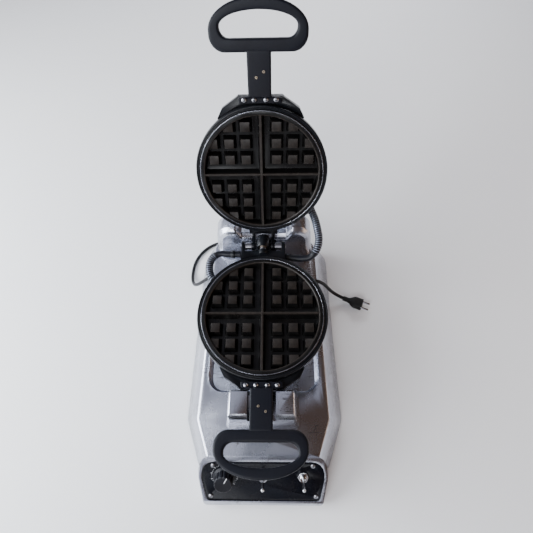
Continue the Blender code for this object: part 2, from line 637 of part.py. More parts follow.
def build_half(looks, parent, side, tag, shift):
    """The pieces that both halves share; shift puts the plate's centre where the parent's frame has it."""
    pieces = (("grid_plate", grid_plate(side), "plate_black"), ("rim", rim_ring(side), "rim_black"),
              ("casing", casing(side), "pan_silver"), ("heating_element", element(side), "steel"),
              ("handle", handle(side), "handle_black"), ("handle_bracket", bracket(side), "rim_black"))
    for name, mesh, look in pieces:
        node(f"{tag}_{name}", mesh, looks[look], parent, shift)
    for i, x in enumerate(BRACKET_SCREWS):
        place = (shift[0] + x, shift[1] - (FOOT_NEAR + FOOT_FAR) / 2, shift[2])
        node(f"{tag}_bracket_screw_{i + 1}", bracket_screw(side), looks["steel"], parent, place)


# ---------------------------------------------------------------- hinge and bearing

def along_x(mesh):
    return moved(mesh, turn=(0, math.pi / 2, 0))


def along_y(mesh):
    """Z of a turned mesh onto +Y."""
    return moved(mesh, turn=(-math.pi / 2, 0, 0))


def yoke():
    """Plate behind the lower rim, a cheek at each end for the hinge pins, and a flange for the shaft."""
    top = -0.0012
    body = box((-YOKE_HALF, 0.09, -YOKE_DROP), (YOKE_HALF, YOKE_FAR, top))
    for side in (-1, 1):
        x0, x1 = sorted((side * (YOKE_HALF - CHEEK), side * YOKE_HALF))
        slab = box((x0, YOKE_FAR - 0.004, HINGE_Z - 0.0085), (x1, HINGE_Y, top))
        eye = moved(along_x(rod(HINGE_Z * -1 + top, 0, CHEEK, 24)), (x0, HINGE_Y, HINGE_Z))
        body = joined(body, slab, eye)
    flange = moved(along_y(rod(0.0072, 0, YOKE_FAR - YOKE_NEAR - 0.001, 32)), (0, YOKE_NEAR + 0.001, 0))
    body = joined(body, flange)
    rim = rod(RIM_RADIUS + 2 * GAP, -RIM_DEPTH - GAP, 0.02, ROUND)
    pan = lathe(((0, -RIM_DEPTH), (RIM_RADIUS + GAP, -RIM_DEPTH), (CASING_RADIUS + GAP, -RIM_DEPTH - GAP),
                 (CASING_RADIUS - 0.001, -0.045), (0, -0.045)), ROUND)
    bore = moved(along_x(rod(PIN_RADIUS + GAP, -0.05, 0.05, 20)), (0, HINGE_Y, HINGE_Z))
    shaft = moved(along_y(rod(SHAFT_RADIUS + GAP, 0, 0.05, 24)), (0, YOKE_NEAR + 0.003, 0))
    return cut(body, rim, pan, bore, shaft)


def lid_hinge():
    """Crosspiece on the lid's rim with two arms down to the pins, in the closed lid's frame from the hinge line."""
    low, high = 0.0085, 0.0155
    body = box((-0.024, 0.09, low), (0.024, CROSS_FAR, high))
    y, z = HINGE_Y, HINGE_Z
    side_view = [(0.1065, low + 0.001), (0.1135, 0.0060), (y - 0.0062, z + 0.0030), (y, z - 0.0030),
                 (y + 0.0060, z + 0.0032), (0.1155, high - 0.001), (0.1065, high - 0.0005)]
    for side in (-1, 1):
        x0, x1 = sorted((side * ARM_IN, side * ARM_OUT))
        arm = loft([[(x, a, b) for a, b in side_view] for x in (x0 + 0.0002, x1 - 0.0002)])
        eye = moved(along_x(rod(ARM_EYE, 0, x1 - x0, 24)), (x0, y, z))
        body = joined(body, arm, eye)
    rim = rod(RIM_RADIUS + 2 * GAP, -0.01, 0.03, ROUND)
    bore = moved(along_x(rod(PIN_RADIUS + GAP, -0.05, 0.05, 20)), (0, y, z))
    return moved(cut(body, rim, bore), (0, -y, -z))


def pedestal():
    """Fixed bearing bracket: a barrel round the flip axis on a web from the tower's front."""
    back = TOWER_FRONT - GAP
    barrel = moved(along_y(rod(BARREL_RADIUS, 0, BARREL_FAR - BARREL_NEAR, 32)), (0, BARREL_NEAR, 0))
    side_view = [(BARREL_NEAR + 0.002, -0.002), (BARREL_NEAR + 0.002, -0.024), (back, -0.062), (back, -0.026),
                 (BARREL_FAR - 0.001, -0.013), (BARREL_FAR - 0.001, -0.002)]
    web = loft([[(x, y, z) for y, z in side_view] for x in (-PEDESTAL_HALF, PEDESTAL_HALF)])
    pad = box((-0.022, back - 0.006, -0.066), (0.022, back, -0.032))
    bore = moved(along_y(rod(SHAFT_RADIUS + BUSH_WALL + 2 * GAP, -0.02, 0.06, 32)), (0, BARREL_NEAR, 0))
    return cut(joined(web, barrel, pad), bore)


def build_hinge(looks, chassis, axis, lid):
    node("bearing_bracket", moved(pedestal(), (0, 0, MATE_Z)), looks["rim_black"], chassis)
    inner, outer = SHAFT_RADIUS + GAP, SHAFT_RADIUS + GAP + BUSH_WALL
    length = BARREL_FAR - BARREL_NEAR
    bush = along_y(lathe(((inner, 0), (outer, 0), (outer, length), (inner, length)), 32))
    node("bearing_bush", moved(bush, (0, BARREL_NEAR, MATE_Z)), looks["brass"], chassis)
    reach = BARREL_FAR + 0.002 - YOKE_NEAR - 0.0035
    shaft = along_y(lathe(((0.0028, 0), (SHAFT_RADIUS, 0), (SHAFT_RADIUS, reach), (0.0028, reach)), 24))
    node("flip_shaft", shaft, looks["steel"], axis, (0, YOKE_NEAR + 0.0035, 0))
    node("hinge_yoke", yoke(), looks["rim_black"], axis)
    for side, tag in ((-1, "left"), (1, "right")):
        pin = along_x(rod(PIN_RADIUS, 0, YOKE_HALF + 0.001 - PIN_IN, 20, 0.0005))
        x = PIN_IN if side > 0 else -YOKE_HALF - 0.001
        node(f"hinge_pin_{tag}", pin, looks["chrome"], axis, (x, HINGE_Y, HINGE_Z))
        wide = YOKE_HALF - CHEEK - ARM_OUT - 2 * RUN
        inner = PIN_RADIUS + GAP
        spacer = along_x(lathe(((inner, 0), (inner + 0.0022, 0), (inner + 0.0022, wide), (inner, wide)), 20))
        x = ARM_OUT + RUN if side > 0 else -ARM_OUT - RUN - wide
        node(f"hinge_spacer_{tag}", spacer, looks["chrome"], axis, (x, HINGE_Y, HINGE_Z))
    node("lid_hinge_arms", lid_hinge(), looks["rim_black"], lid)


# ---------------------------------------------------------------- conduits and mains lead

def smooth_line(points, spacing):
    """Points at an even spacing on the Catmull-Rom curve through a route's points."""
    route = [Vector(p) for p in points]
    ends = [2 * route[0] - route[1]] + route + [2 * route[-1] - route[-2]]
    fine = []
    for a, b, c, d in zip(ends, ends[1:], ends[2:], ends[3:]):
        for k in range(40):
            t = k / 40
            fine.append(0.5 * (2 * b + (c - a) * t + (2 * a - 5 * b + 4 * c - d) * t * t
                               + (3 * b - a - 3 * c + d) * t ** 3))
    fine.append(route[-1])
    total = sum((q - p).length for p, q in zip(fine, fine[1:]))
    count = max(2, round(total / spacing))
    line, run, goal = [fine[0]], 0.0, total / count
    for p, q in zip(fine, fine[1:]):
        step = (q - p).length
        while run + step >= goal and len(line) < count:
            line.append(p.lerp(q, (goal - run) / step))
            goal += total / count
        run += step
    line.append(route[-1])
    return line


def tube(name, points, radius, look, parent, spacing, sides=2):
    """A round tube on a smooth curve, with flat filled ends."""
    curve = bpy.data.curves.new(name, "CURVE")
    curve.dimensions, curve.bevel_depth, curve.bevel_resolution = "3D", radius, sides
    curve.use_fill_caps = True
    line = smooth_line(points, spacing)
    spline = curve.splines.new("POLY")
    spline.points.add(len(line) - 1)
    for place, p in zip(spline.points, line):
        place.co = (*p, 1)
    curve.materials.append(look)
    made = bpy.data.objects.new(name, curve)
    bpy.context.scene.collection.objects.link(made)
    made.parent = parent
    return made


def ferrule(name, start, towards, look, parent):
    """Hexagon-edged gland nut whose back is at start and whose mouth looks towards the conduit."""
    way = (Vector(towards) - Vector(start)).normalized()
    turn = way.to_track_quat("Z", "Y").to_euler()
    mesh = lathe(((0, 0), (FERRULE_RADIUS, 0), (FERRULE_RADIUS, FERRULE_LENGTH * 0.55),
                  (FERRULE_RADIUS - 0.0008, FERRULE_LENGTH), (0, FERRULE_LENGTH)), 20)
    return node(name, mesh, look, parent, start, turn)


LOWER_CONDUIT = ((-0.0460, 0.1130, -0.0170), (-0.0600, 0.1130, -0.0170), (-0.0750, 0.1140, -0.0168),
                 (-0.0862, 0.1085, -0.0188), (-0.0918, 0.0985, -0.0218), (-0.0922, 0.0865, -0.0255),
                 (-0.0892, 0.0757, -0.0284), (-0.0835, 0.0690, -0.0300))
LID_CONDUIT = ((0.0460, 0.1060, -0.0160), (0.0640, 0.1030, -0.0150), (0.0800, 0.1040, -0.0110),
               (0.0910, 0.1130, -0.0020), (0.0950, 0.1270, 0.0060), (0.0925, 0.1440, 0.0120),
               (0.0880, 0.1620, 0.0170), (0.0825, 0.1770, 0.0200))


def build_conduits(looks, axis):
    """Two ribbed conduits from the yoke: one to the lower casing and one, across the hinge, to the lid's."""
    for points, tag in ((LOWER_CONDUIT, "lower"), (LID_CONDUIT, "lid")):
        side = -1 if points[0][0] < 0 else 1
        start = (side * (YOKE_HALF + GAP), points[0][1], points[0][2])
        ferrule(f"{tag}_conduit_yoke_ferrule", start, points[0], looks["steel"], axis)
        tube(f"{tag}_conduit", points, CONDUIT_RADIUS, looks["conduit"], axis, 0.009, 2)
    last, before = Vector(LOWER_CONDUIT[-1]), Vector(LOWER_CONDUIT[-2])
    way = (last - before).normalized()
    ferrule("lower_conduit_case_ferrule", last + way * (FERRULE_LENGTH + GAP), last, looks["steel"], axis)


REST = CORD_RADIUS + 0.0002      # a cord's centre above what it lies on
LAID_ROUND = 0.134               # half width of the base that CORD_LEAD is laid round
CORD_TAIL = ((0.0, 0.0, 0.0), (0.0, 0.0137, -0.0012), (0.0, 0.0262, -0.0110), (0.0, 0.0322, -0.0280),
             (0.0002, 0.0335, -0.0470), (0.0015, 0.0370, -0.0640), (0.0065, 0.0440, -0.0745),
             (0.0154, 0.0515, -0.0778))
CORD_LEAD = ((-0.0170, 0.2250, REST), (-0.0450, 0.2250, REST), (-0.0780, 0.2252, REST),
             (-0.1070, 0.2205, REST), (-0.1310, 0.2055, REST), (-0.1465, 0.1830, REST),
             (-0.1526, 0.1590, REST), (-0.1530, 0.1400, REST), (-0.1505, 0.1248, 0.0065),
             (-0.1446, 0.1150, 0.0146), (-0.1364, 0.1105, 0.0257), (-0.1227, 0.1085, 0.0443),
             (-0.1090, 0.1070, 0.0629), (-0.0992, 0.1055, 0.0712), (-0.0867, 0.1035, 0.0742),
             (-0.0650, 0.1005, 0.0728), (-0.0350, 0.0985, 0.0707), (0.0000, 0.0980, 0.0707),
             (0.0350, 0.0975, 0.0707), (0.0650, 0.0970, 0.0728), (0.0867, 0.0972, 0.0742),
             (0.0992, 0.0975, 0.0710), (0.1105, 0.0978, 0.0600), (0.1206, 0.0978, 0.0415),
             (0.1304, 0.0972, 0.0235), (0.1405, 0.0950, 0.0125), (0.1500, 0.0915, 0.0088),
             (0.1580, 0.0875, 0.0085))
PLUG_LENGTH, PLUG_WIDE, PLUG_THICK = 0.036, 0.022, 0.0165
PIN_LENGTH, PIN_WIDE = 0.016, 0.0046


def plug_mesh():
    """Moulded plug along +Z from its cord end: a tapered body with two round pins."""
    rings = []
    for along, wide, thick in ((0, 0.010, 0.010), (0.010, 0.0115, 0.011),
                               (0.016, PLUG_WIDE - 0.003, PLUG_THICK - 0.002),
                               (PLUG_LENGTH - 0.004, PLUG_WIDE, PLUG_THICK),
                               (PLUG_LENGTH, PLUG_WIDE - 0.002, PLUG_THICK - 0.002)):
        corner = min(wide, thick) * 0.42
        rings.append([(x, y, along) for x, y in rounded(round_box(wide / 2, -thick / 2, thick / 2, corner), 4)])
    body = loft(rings)
    for side in (-1, 1):
        pin = rod(PIN_WIDE / 2, PLUG_LENGTH - 0.002, PLUG_LENGTH + PIN_LENGTH, 12, 0.0006)
        body = joined(body, moved(pin, (side * 0.0065, 0, 0)))
    return body


def build_cord(looks, chassis):
    gland_y = TOWER_REAR + GAP
    body = along_y(lathe(((0, 0), (0.0085, 0), (0.0085, 0.004), (0.0060, 0.006), (CORD_RADIUS + 0.0012, 0.024),
                          (0, 0.024)), 24))
    node("cord_gland", body, looks["rubber"], chassis, (GLAND_X, gland_y, GLAND_Z))
    start = Vector((GLAND_X, gland_y + 0.024 + 2 * GAP, GLAND_Z))
    tube("cord_tail", [start + Vector(p) for p in CORD_TAIL], CORD_RADIUS, looks["cord_black"], chassis, 0.013)
    lead = [(x + math.copysign(BASE_HALF - LAID_ROUND, x) * (abs(x) > 0.11), y, z) for x, y, z in CORD_LEAD]
    tube("cord_lead", lead, CORD_RADIUS, looks["cord_black"], chassis, 0.0155)
    ring = lathe(((COIL_MEAN - COIL_HALF, 0.0), (COIL_MEAN + COIL_HALF, 0.0), (COIL_MEAN + COIL_HALF, COIL_HEIGHT),
                  (COIL_MEAN - COIL_HALF, COIL_HEIGHT)), 40)
    node("cord_coil", ring, looks["cord_black"], chassis, (COIL_X, COIL_Y, 0))
    last, before = Vector(lead[-1]), Vector(lead[-2])
    way = (last - before).normalized()
    way.z = 0.0
    way.normalize()
    turn = way.to_track_quat("Z", "Y").to_euler()
    place = last + way * 0.0010
    node("power_plug", plug_mesh(), looks["rubber"], chassis, place, turn)


def main():
    for thing in list(bpy.data.objects):
        bpy.data.objects.remove(thing)
    looks = {name: finish(name, *values) for name, values in {
        "cast_silver": ((0.56, 0.57, 0.59), 0.42, 0.55), "pan_silver": ((0.66, 0.66, 0.67), 0.22, 1.0),
        "rim_black": ((0.020, 0.021, 0.024), 0.42), "plate_black": ((0.028, 0.026, 0.026), 0.33),
        "handle_black": ((0.030, 0.031, 0.036), 0.50), "panel_black": ((0.018, 0.018, 0.020), 0.35),
        "knob_black": ((0.022, 0.022, 0.025), 0.40), "chrome": ((0.78, 0.78, 0.80), 0.12, 1.0),
        "steel": ((0.55, 0.55, 0.56), 0.30, 1.0), "rubber": ((0.02, 0.02, 0.02), 0.75),
        "conduit": ((0.045, 0.045, 0.050), 0.45), "cord_black": ((0.015, 0.015, 0.016), 0.55),
        "brass": ((0.60, 0.45, 0.20), 0.30, 1.0)}.items()}
    chassis = empty("chassis", (0, PLATE_Y, 0))
    axis = empty("flip_axis", (0, 0, MATE_Z), chassis)
    lid = empty("lid_hinge_line", (0, HINGE_Y, HINGE_Z), axis, (-LID_OPEN, 0, 0))
    build_base(looks, chassis)
    build_panel(looks, chassis)
    build_half(looks, axis, -1, "lower", (0, 0, 0))
    build_half(looks, lid, 1, "lid", (0, -HINGE_Y, -HINGE_Z))
    build_hinge(looks, chassis, axis, lid)
    build_conduits(looks, axis)
    build_cord(looks, chassis)
    bpy.context.view_layer.update()


main()
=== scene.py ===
# %% [markdown]
# # A rotary waffle iron, standing open
#
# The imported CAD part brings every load-carrying piece at its true size. This notebook dresses it: worn cast
# aluminium, cooking plates black with seasoning, moulded handles, steel-wound conduits and the loose mains cord.
# Each new piece is a formula worked out as one numpy array, so a number can be changed and the cell run again.

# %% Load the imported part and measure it
import json
import math

import bmesh
import bpy
import numpy as np
from mathutils import Matrix, Vector

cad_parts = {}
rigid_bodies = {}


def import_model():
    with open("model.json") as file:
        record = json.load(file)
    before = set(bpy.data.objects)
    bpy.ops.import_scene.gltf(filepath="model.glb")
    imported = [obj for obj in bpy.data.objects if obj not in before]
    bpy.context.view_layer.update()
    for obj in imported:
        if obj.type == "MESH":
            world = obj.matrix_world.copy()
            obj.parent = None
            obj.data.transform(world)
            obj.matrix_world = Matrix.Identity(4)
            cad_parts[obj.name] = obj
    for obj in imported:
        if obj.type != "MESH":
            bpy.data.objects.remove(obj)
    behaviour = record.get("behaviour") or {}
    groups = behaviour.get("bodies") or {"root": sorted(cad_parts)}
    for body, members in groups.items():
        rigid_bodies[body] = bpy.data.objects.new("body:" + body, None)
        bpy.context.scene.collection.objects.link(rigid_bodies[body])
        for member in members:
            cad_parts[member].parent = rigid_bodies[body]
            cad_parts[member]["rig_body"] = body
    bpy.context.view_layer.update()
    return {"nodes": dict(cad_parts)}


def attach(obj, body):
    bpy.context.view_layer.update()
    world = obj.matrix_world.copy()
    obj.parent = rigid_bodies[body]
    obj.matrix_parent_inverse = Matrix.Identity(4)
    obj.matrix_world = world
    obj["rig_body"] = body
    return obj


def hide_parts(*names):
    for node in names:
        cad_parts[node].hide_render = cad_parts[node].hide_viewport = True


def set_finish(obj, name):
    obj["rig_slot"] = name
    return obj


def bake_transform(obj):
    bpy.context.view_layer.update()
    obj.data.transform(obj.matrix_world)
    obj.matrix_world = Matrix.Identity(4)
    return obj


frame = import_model()
nodes = frame["nodes"]

# %% [markdown]
# ## The camera
# The operator looks steeply down on the open iron from the front. A wide lens close to the object gives the strong
# perspective: the raised lid nearly fills the width of the base, though it is no wider. The camera is turned by
# three angles, down, aside and a slight roll, and its matrix is built from them.

# %% Camera
camera_at = Vector((0.0195, -0.2256, 0.7106))
down, aside, roll = 1.087, -0.047, -0.046
sight = Vector((math.sin(aside) * math.cos(down), math.cos(aside) * math.cos(down), -math.sin(down)))
level = Vector((math.cos(aside), -math.sin(aside), 0.0))
upright = level.cross(sight)
across = math.cos(roll) * level + math.sin(roll) * upright
up = -math.sin(roll) * level + math.cos(roll) * upright
lens = bpy.data.cameras.new("counter view")
lens.lens, lens.sensor_width = 25.48, 36.0
lens.clip_start = 0.01
camera = bpy.data.objects.new("counter view", lens)
camera.matrix_world = Matrix((across, up, -sight)).transposed().to_4x4()
camera.matrix_world.translation = camera_at
bpy.context.scene.collection.objects.link(camera)
bpy.context.scene.camera = camera
print("camera", [round(v, 3) for v in camera_at], "lens", lens.lens)

# %% [markdown]
# ## Three tools for lines
# Many pieces follow a line: a cord, a conduit, the bar of a handle. `evenly` spreads points at equal steps, `curved`
# draws a smooth line through a few marks, and `fillet` rounds the corners of an outline. All three work on whole
# arrays.

# %% Lines
def evenly(points, count, closed=False):
    """Points at equal steps of length along a line: the running length is inverted by linear interpolation."""
    points = np.asarray(points, float)
    if closed:
        points = np.vstack([points, points[:1]])
    run = np.concatenate([[0.0], np.cumsum(np.linalg.norm(np.diff(points, axis=0), axis=1))])
    at = np.linspace(0, run[-1], count + 1)[:-1] if closed else np.linspace(0, run[-1], count)
    return np.column_stack([np.interp(at, run, points[:, k]) for k in range(points.shape[1])])


def line_length(points):
    return float(np.linalg.norm(np.diff(points, axis=0), axis=1).sum())


def curved(marks, count):
    """Centripetal Catmull-Rom line: between marks 1 and 2, two blends of three chords, weighted by root distance."""
    marks = np.asarray(marks, float)
    marks = np.vstack([2 * marks[0] - marks[1], marks, 2 * marks[-1] - marks[-2]])
    a, b, c, d = (marks[i:len(marks) - 3 + i, None, :] for i in range(4))
    t1 = np.sqrt(np.linalg.norm(b - a, axis=2, keepdims=True))
    t2 = t1 + np.sqrt(np.linalg.norm(c - b, axis=2, keepdims=True))
    t3 = t2 + np.sqrt(np.linalg.norm(d - c, axis=2, keepdims=True))
    t = t1 + (t2 - t1) * np.linspace(0, 1, 24, endpoint=False)[None, :, None]
    ab, bc, cd = a + (b - a) * t / t1, b + (c - b) * (t - t1) / (t2 - t1), c + (d - c) * (t - t2) / (t3 - t2)
    abc, bcd = ab + (bc - ab) * t / t2, bc + (cd - bc) * (t - t1) / (t3 - t1)
    line = (abc + (bcd - abc) * (t - t1) / (t2 - t1)).reshape(-1, marks.shape[1])
    return evenly(np.vstack([line, marks[-2]]), count)


def fillet(corners, steps=7):
    """Closed outline with rounded corners (x, y, radius): each corner becomes an arc that touches both its sides."""
    corners = np.asarray(corners, float)
    at, radius = corners[:, :2], corners[:, 2:3]
    back, ahead = np.roll(at, 1, 0) - at, np.roll(at, -1, 0) - at
    back /= np.linalg.norm(back, axis=1, keepdims=True)
    ahead /= np.linalg.norm(ahead, axis=1, keepdims=True)
    half = np.arccos(np.clip((back * ahead).sum(1, keepdims=True), -1, 1)) / 2
    middle = back + ahead
    centre = at + middle / np.linalg.norm(middle, axis=1, keepdims=True) * radius / np.sin(half)
    first, last = at + back * radius / np.tan(half) - centre, at + ahead * radius / np.tan(half) - centre
    turn = (math.pi - 2 * half)[:, None]
    t = np.linspace(0, 1, steps)[None, :, None]
    arc = (np.sin((1 - t) * turn) * first[:, None] + np.sin(t * turn) * last[:, None]) / np.sin(turn)
    return (centre[:, None] + arc).reshape(-1, 2)


# %% [markdown]
# ## The mains cord
# The cord is 6.6 mm thick, leaves the back of the tower through a strain relief, drops in a soft curve to the
# counter and is wound into a small tied coil behind the base. From the coil it runs round the left side, over the
# deck under the iron, and ends in the plug on the right. The turns of the coil lie two wide and two high: as the
# line goes round, its place in that stack steps a quarter turn once per lap, so the turns never cross each other.

# %% Route of the cord
PLATE = Vector((0.0, -0.0179, 0.162))          # centre of the lower plate, on the plane where the halves meet
cord_radius = 0.0033
coil_middle, coil_mean, stack_half = np.array([0.012, 0.2441]), 0.0370, 0.0034
coil_turns, tie_turn = 3.625, 0.29


def coil_line(count=560):
    """Circle of mean radius, plus a small circle's offset whose angle steps 90 degrees in a short part of each lap."""
    lap = np.linspace(0, coil_turns, count)
    around = math.radians(135) - 2 * math.pi * lap
    whole, part = np.divmod(lap + 0.375, 1.0)
    step = np.clip((part - 0.62) / 0.38, 0, 1)
    phase = math.radians(45) + math.radians(90) * (whole + step * step * (3 - 2 * step))
    reach = coil_mean + stack_half * math.sqrt(2) * np.cos(phase)
    lifted = np.abs(np.sin(2 * phase))
    height = stack_half * math.sqrt(2) * np.sin(phase)
    sag = stack_half * (math.sqrt(2) - 1) * (1 - lifted)
    at_tie = np.exp(-((part - 0.375 - tie_turn) / 0.09) ** 2)
    z = np.maximum(2 * stack_half + 0.0001 + height + sag, cord_radius + 0.0002) + 0.0009 * at_tie
    return np.column_stack([coil_middle[0] + reach * np.cos(around), coil_middle[1] + reach * np.sin(around), z])


gland_tip = np.array([-0.050, 0.1990, 0.0880])
tail_marks = gland_tip + [(0, -0.0030, 0), (0, 0.0137, -0.0012), (0, 0.0262, -0.0110), (0, 0.0322, -0.0280),
                          (0.0002, 0.0335, -0.0470), (0.0022, 0.0380, -0.0640), (0.0080, 0.0470, -0.0745)]
lead_marks = np.array([(-0.0450, 0.2071, 0.0035), (-0.0780, 0.2073, 0.0035), (-0.1070, 0.2026, 0.0035),
                       (-0.1310, 0.1876, 0.0035), (-0.1465, 0.1651, 0.0035), (-0.1526, 0.1411, 0.0035),
                       (-0.1530, 0.1221, 0.0036), (-0.1505, 0.1069, 0.0065), (-0.1446, 0.0971, 0.0146),
                       (-0.1364, 0.0926, 0.0257), (-0.1227, 0.0906, 0.0443), (-0.1090, 0.0891, 0.0632),
                       (-0.0992, 0.0876, 0.0720), (-0.0867, 0.0856, 0.0750), (-0.0650, 0.0826, 0.0732),
                       (-0.0350, 0.0806, 0.0707), (0.0, 0.0801, 0.0707), (0.0350, 0.0796, 0.0707),
                       (0.0650, 0.0791, 0.0732), (0.0867, 0.0793, 0.0750), (0.0992, 0.0796, 0.0718),
                       (0.1105, 0.0799, 0.0604), (0.1206, 0.0799, 0.0415), (0.1304, 0.0793, 0.0235),
                       (0.1405, 0.0771, 0.0125), (0.1500, 0.0736, 0.0088), (0.1580, 0.0696, 0.0085)])
turns = coil_line()
route = np.vstack([tail_marks, turns[6::14], lead_marks])

# %% [markdown]
# A stiff cord does not turn sharply. Outside the coil every point is moved again and again to the mean of itself and
# its two neighbours, which opens the bends to a radius of nearly four diameters or more.

# %% Bends opened out
def relaxed(line, free, rounds):
    """One round moves a point by a quarter of its second difference, times how free it is; the two ends stay."""
    line = line.copy()
    for _ in range(rounds):
        line[1:-1] += free[1:-1, None] * (line[:-2] - 2 * line[1:-1] + line[2:]) / 4
    return line


rough_line = curved(route, 900)
run = np.linspace(0, line_length(rough_line), 900)
tail_end = line_length(tail_marks)
coil_end = tail_end + line_length(turns)
free = np.clip((tail_end + 0.01 - run) / 0.02, 0, 1) + np.clip((run - coil_end + 0.02) / 0.03, 0, 1)
cord_line = evenly(relaxed(rough_line, free, 90), 900)

# %% [markdown]

# %% Cord as a curve
cord_curve = bpy.data.curves.new("mains_cord", "CURVE")
cord_curve.dimensions = "3D"
cord_curve.bevel_depth, cord_curve.bevel_resolution, cord_curve.use_fill_caps = 1.0, 5, True
spline = cord_curve.splines.new("POLY")
spline.points.add(len(cord_line) - 1)
spline.points.foreach_set("co", np.column_stack([cord_line, np.ones(len(cord_line))]).ravel())
spline.points.foreach_set("radius", np.full(len(cord_line), cord_radius))
spline.use_smooth = True
mains_cord = bpy.data.objects.new("mains_cord", cord_curve)
bpy.context.scene.collection.objects.link(mains_cord)
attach(mains_cord, "base")
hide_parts("cord_tail", "cord_coil", "cord_lead")
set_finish(mains_cord, "cord_black")

# %% [markdown]
# ## From arrays to pieces
# A piece is a grid of points: rows run along it, and each row is a closed ring of columns. Neighbouring points give
# the quads, and the two end rings are capped. `piece` builds the mesh, turns its faces outward, shades it smooth up
# to an angle and hands it to the body it moves with.

# %% Grid to mesh
def quads(rows, columns, wrap):
    """Corner numbers of the cells between neighbouring rows; the last column meets the first one again."""
    r = np.arange(rows if wrap else rows - 1)[:, None]
    c = np.arange(columns)[None, :]
    below, right = (r + 1) % rows, (c + 1) % columns
    corners = [r * columns + c, r * columns + right, below * columns + right, below * columns + c]
    return np.stack(corners, -1).reshape(-1, 4)


def piece(name, grids, body, slot, replaces=(), wrap=False, sharp=40, attribute=None):
    """One object of one or more grids (rows x columns x 3); open grids get a lid on each end ring."""
    points, faces, start = [], [], 0
    for grid in grids if isinstance(grids, (list, tuple)) else [grids]:
        rows, columns = grid.shape[:2]
        points.append(grid.reshape(-1, 3))
        faces += (quads(rows, columns, wrap) + start).tolist()
        if not wrap:
            ring = np.arange(columns) + start
            faces += [ring.tolist(), (ring[::-1] + (rows - 1) * columns).tolist()]
        start += rows * columns
    mesh = bpy.data.meshes.new(name)
    mesh.from_pydata(np.vstack(points).tolist(), [], faces)
    if attribute is not None:
        layer = mesh.attributes.new(attribute[0], "FLOAT", "POINT")
        layer.data.foreach_set("value", np.asarray(attribute[1], np.float32).ravel())
    work = bmesh.new()
    work.from_mesh(mesh)
    bmesh.ops.remove_doubles(work, verts=work.verts, dist=2e-6)
    bmesh.ops.recalc_face_normals(work, faces=work.faces)
    work.to_mesh(mesh)
    work.free()
    mesh.shade_smooth()
    mesh.set_sharp_from_angle(angle=math.radians(sharp))
    made = bpy.data.objects.new(name, mesh)
    bpy.context.scene.collection.objects.link(made)
    if body:
        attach(made, body)
    if replaces:
        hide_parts(*replaces)
    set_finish(made, slot)
    print(f"made {name}: {len(mesh.polygons)} faces")
    return made


def turned(profile, steps=96):
    """Turned on a lathe: each (radius, height) of the profile goes round Z as radius cos a, radius sin a, height."""
    profile = np.asarray(profile, float)
    a = np.linspace(0, 2 * math.pi, steps, endpoint=False)
    radius, height = profile[:, :1], profile[:, 1:2]
    return np.stack([radius * np.cos(a), radius * np.sin(a), height + 0 * a], -1)


def placed(grid, matrix):
    """Every point multiplied by a 4 x 4 matrix."""
    m = np.array(matrix)
    return grid @ m[:3, :3].T + m[:3, 3]


def carried(section, path, side, wrap=False, scale=None):
    """A section (across, along side) carried along a path: its first axis is tangent x side, its second is side."""
    path = np.asarray(path, float)
    ahead = (np.roll(path, -1, 0) - np.roll(path, 1, 0)) if wrap else np.gradient(path, axis=0)
    ahead /= np.linalg.norm(ahead, axis=1, keepdims=True)
    first = np.cross(ahead, np.broadcast_to(side, ahead.shape))
    first /= np.linalg.norm(first, axis=1, keepdims=True)
    second = np.cross(first, ahead)
    size = np.ones(len(path)) if scale is None else np.asarray(scale)
    section = np.asarray(section, float)
    if section.ndim == 2:
        section = np.broadcast_to(section, (len(path),) + section.shape)
    offset = section[..., :1] * first[:, None] + section[..., 1:2] * second[:, None]
    return path[:, None] + size[:, None, None] * offset


# %% [markdown]
# ## Where the two halves sit
# Both halves are described with the depth below their own cooking face. The lower half lies with its face up; the
# lid is the same half the other way round, swung open about the hinge line behind the plates.

# %% Places of the halves
hinge_line = PLATE + Vector((0.0, 0.1246, -0.0095))
swing = Matrix.Rotation(math.radians(-116.4), 4, "X")
opened = Matrix.Translation(hinge_line) @ swing @ Matrix.Translation(-hinge_line)
halves = {"lower": ("iron", Matrix.Translation(PLATE) @ Matrix.Diagonal((1, 1, -1, 1))),
          "lid": ("lid", opened @ Matrix.Translation(PLATE))}
print("hinge line", [round(v, 4) for v in hinge_line])

# %% [markdown]
# ## Rims
# The black ring round each plate is a cast frame. Its face carries a shallow groove between two narrow lands, which
# is why its inner edge shows as a thin bright line. A rounded profile, turned on a lathe, gives both.

# %% Rims
rim_corners = [(0.0963, 0.0012, 0.0006), (0.0975, 0.0012, 0.0005), (0.0979, 0.0019, 0.0004), (0.0992, 0.0019, 0.0004),
               (0.0996, 0.0010, 0.0004), (0.1015, 0.0010, 0.0017), (0.1015, 0.0140, 0.0012), (0.0903, 0.0140, 0.0003),
               (0.0903, 0.0123, 0.0003), (0.0963, 0.0123, 0.0003)]
for half, (body, place) in halves.items():
    ring = np.swapaxes(placed(turned(fillet(rim_corners, 6), 160), place), 0, 1)
    piece(f"{half}_rim_ring", ring, body, "rim_black", [f"{half}_rim"], wrap=True, sharp=50)

# %% [markdown]
# Just inside the rim a fine raised bead runs round the cooking plate and keeps the batter in. Its bright metal
# colour is a painted highlight: it is the thin bright line that draws the circle.

# %% Beads
bead = fillet([(0.0938, 0.0012, 0.0002), (0.0953, 0.0012, 0.0002), (0.0951, 0.0001, 0.0002), (0.0940, 0.0001, 0.0002)], 6)
for half, (body, place) in halves.items():
    piece(f"{half}_plate_bead", np.swapaxes(placed(turned(bead, 200), place), 0, 1), body, "rim_black", wrap=True, sharp=60)

# %% [markdown]
# ## Pans
# Behind each rim hangs a pressed aluminium pan that hides the heating element. It tapers a little, turns in with a
# soft edge and has a bead pressed into its back that keeps the thin sheet flat.

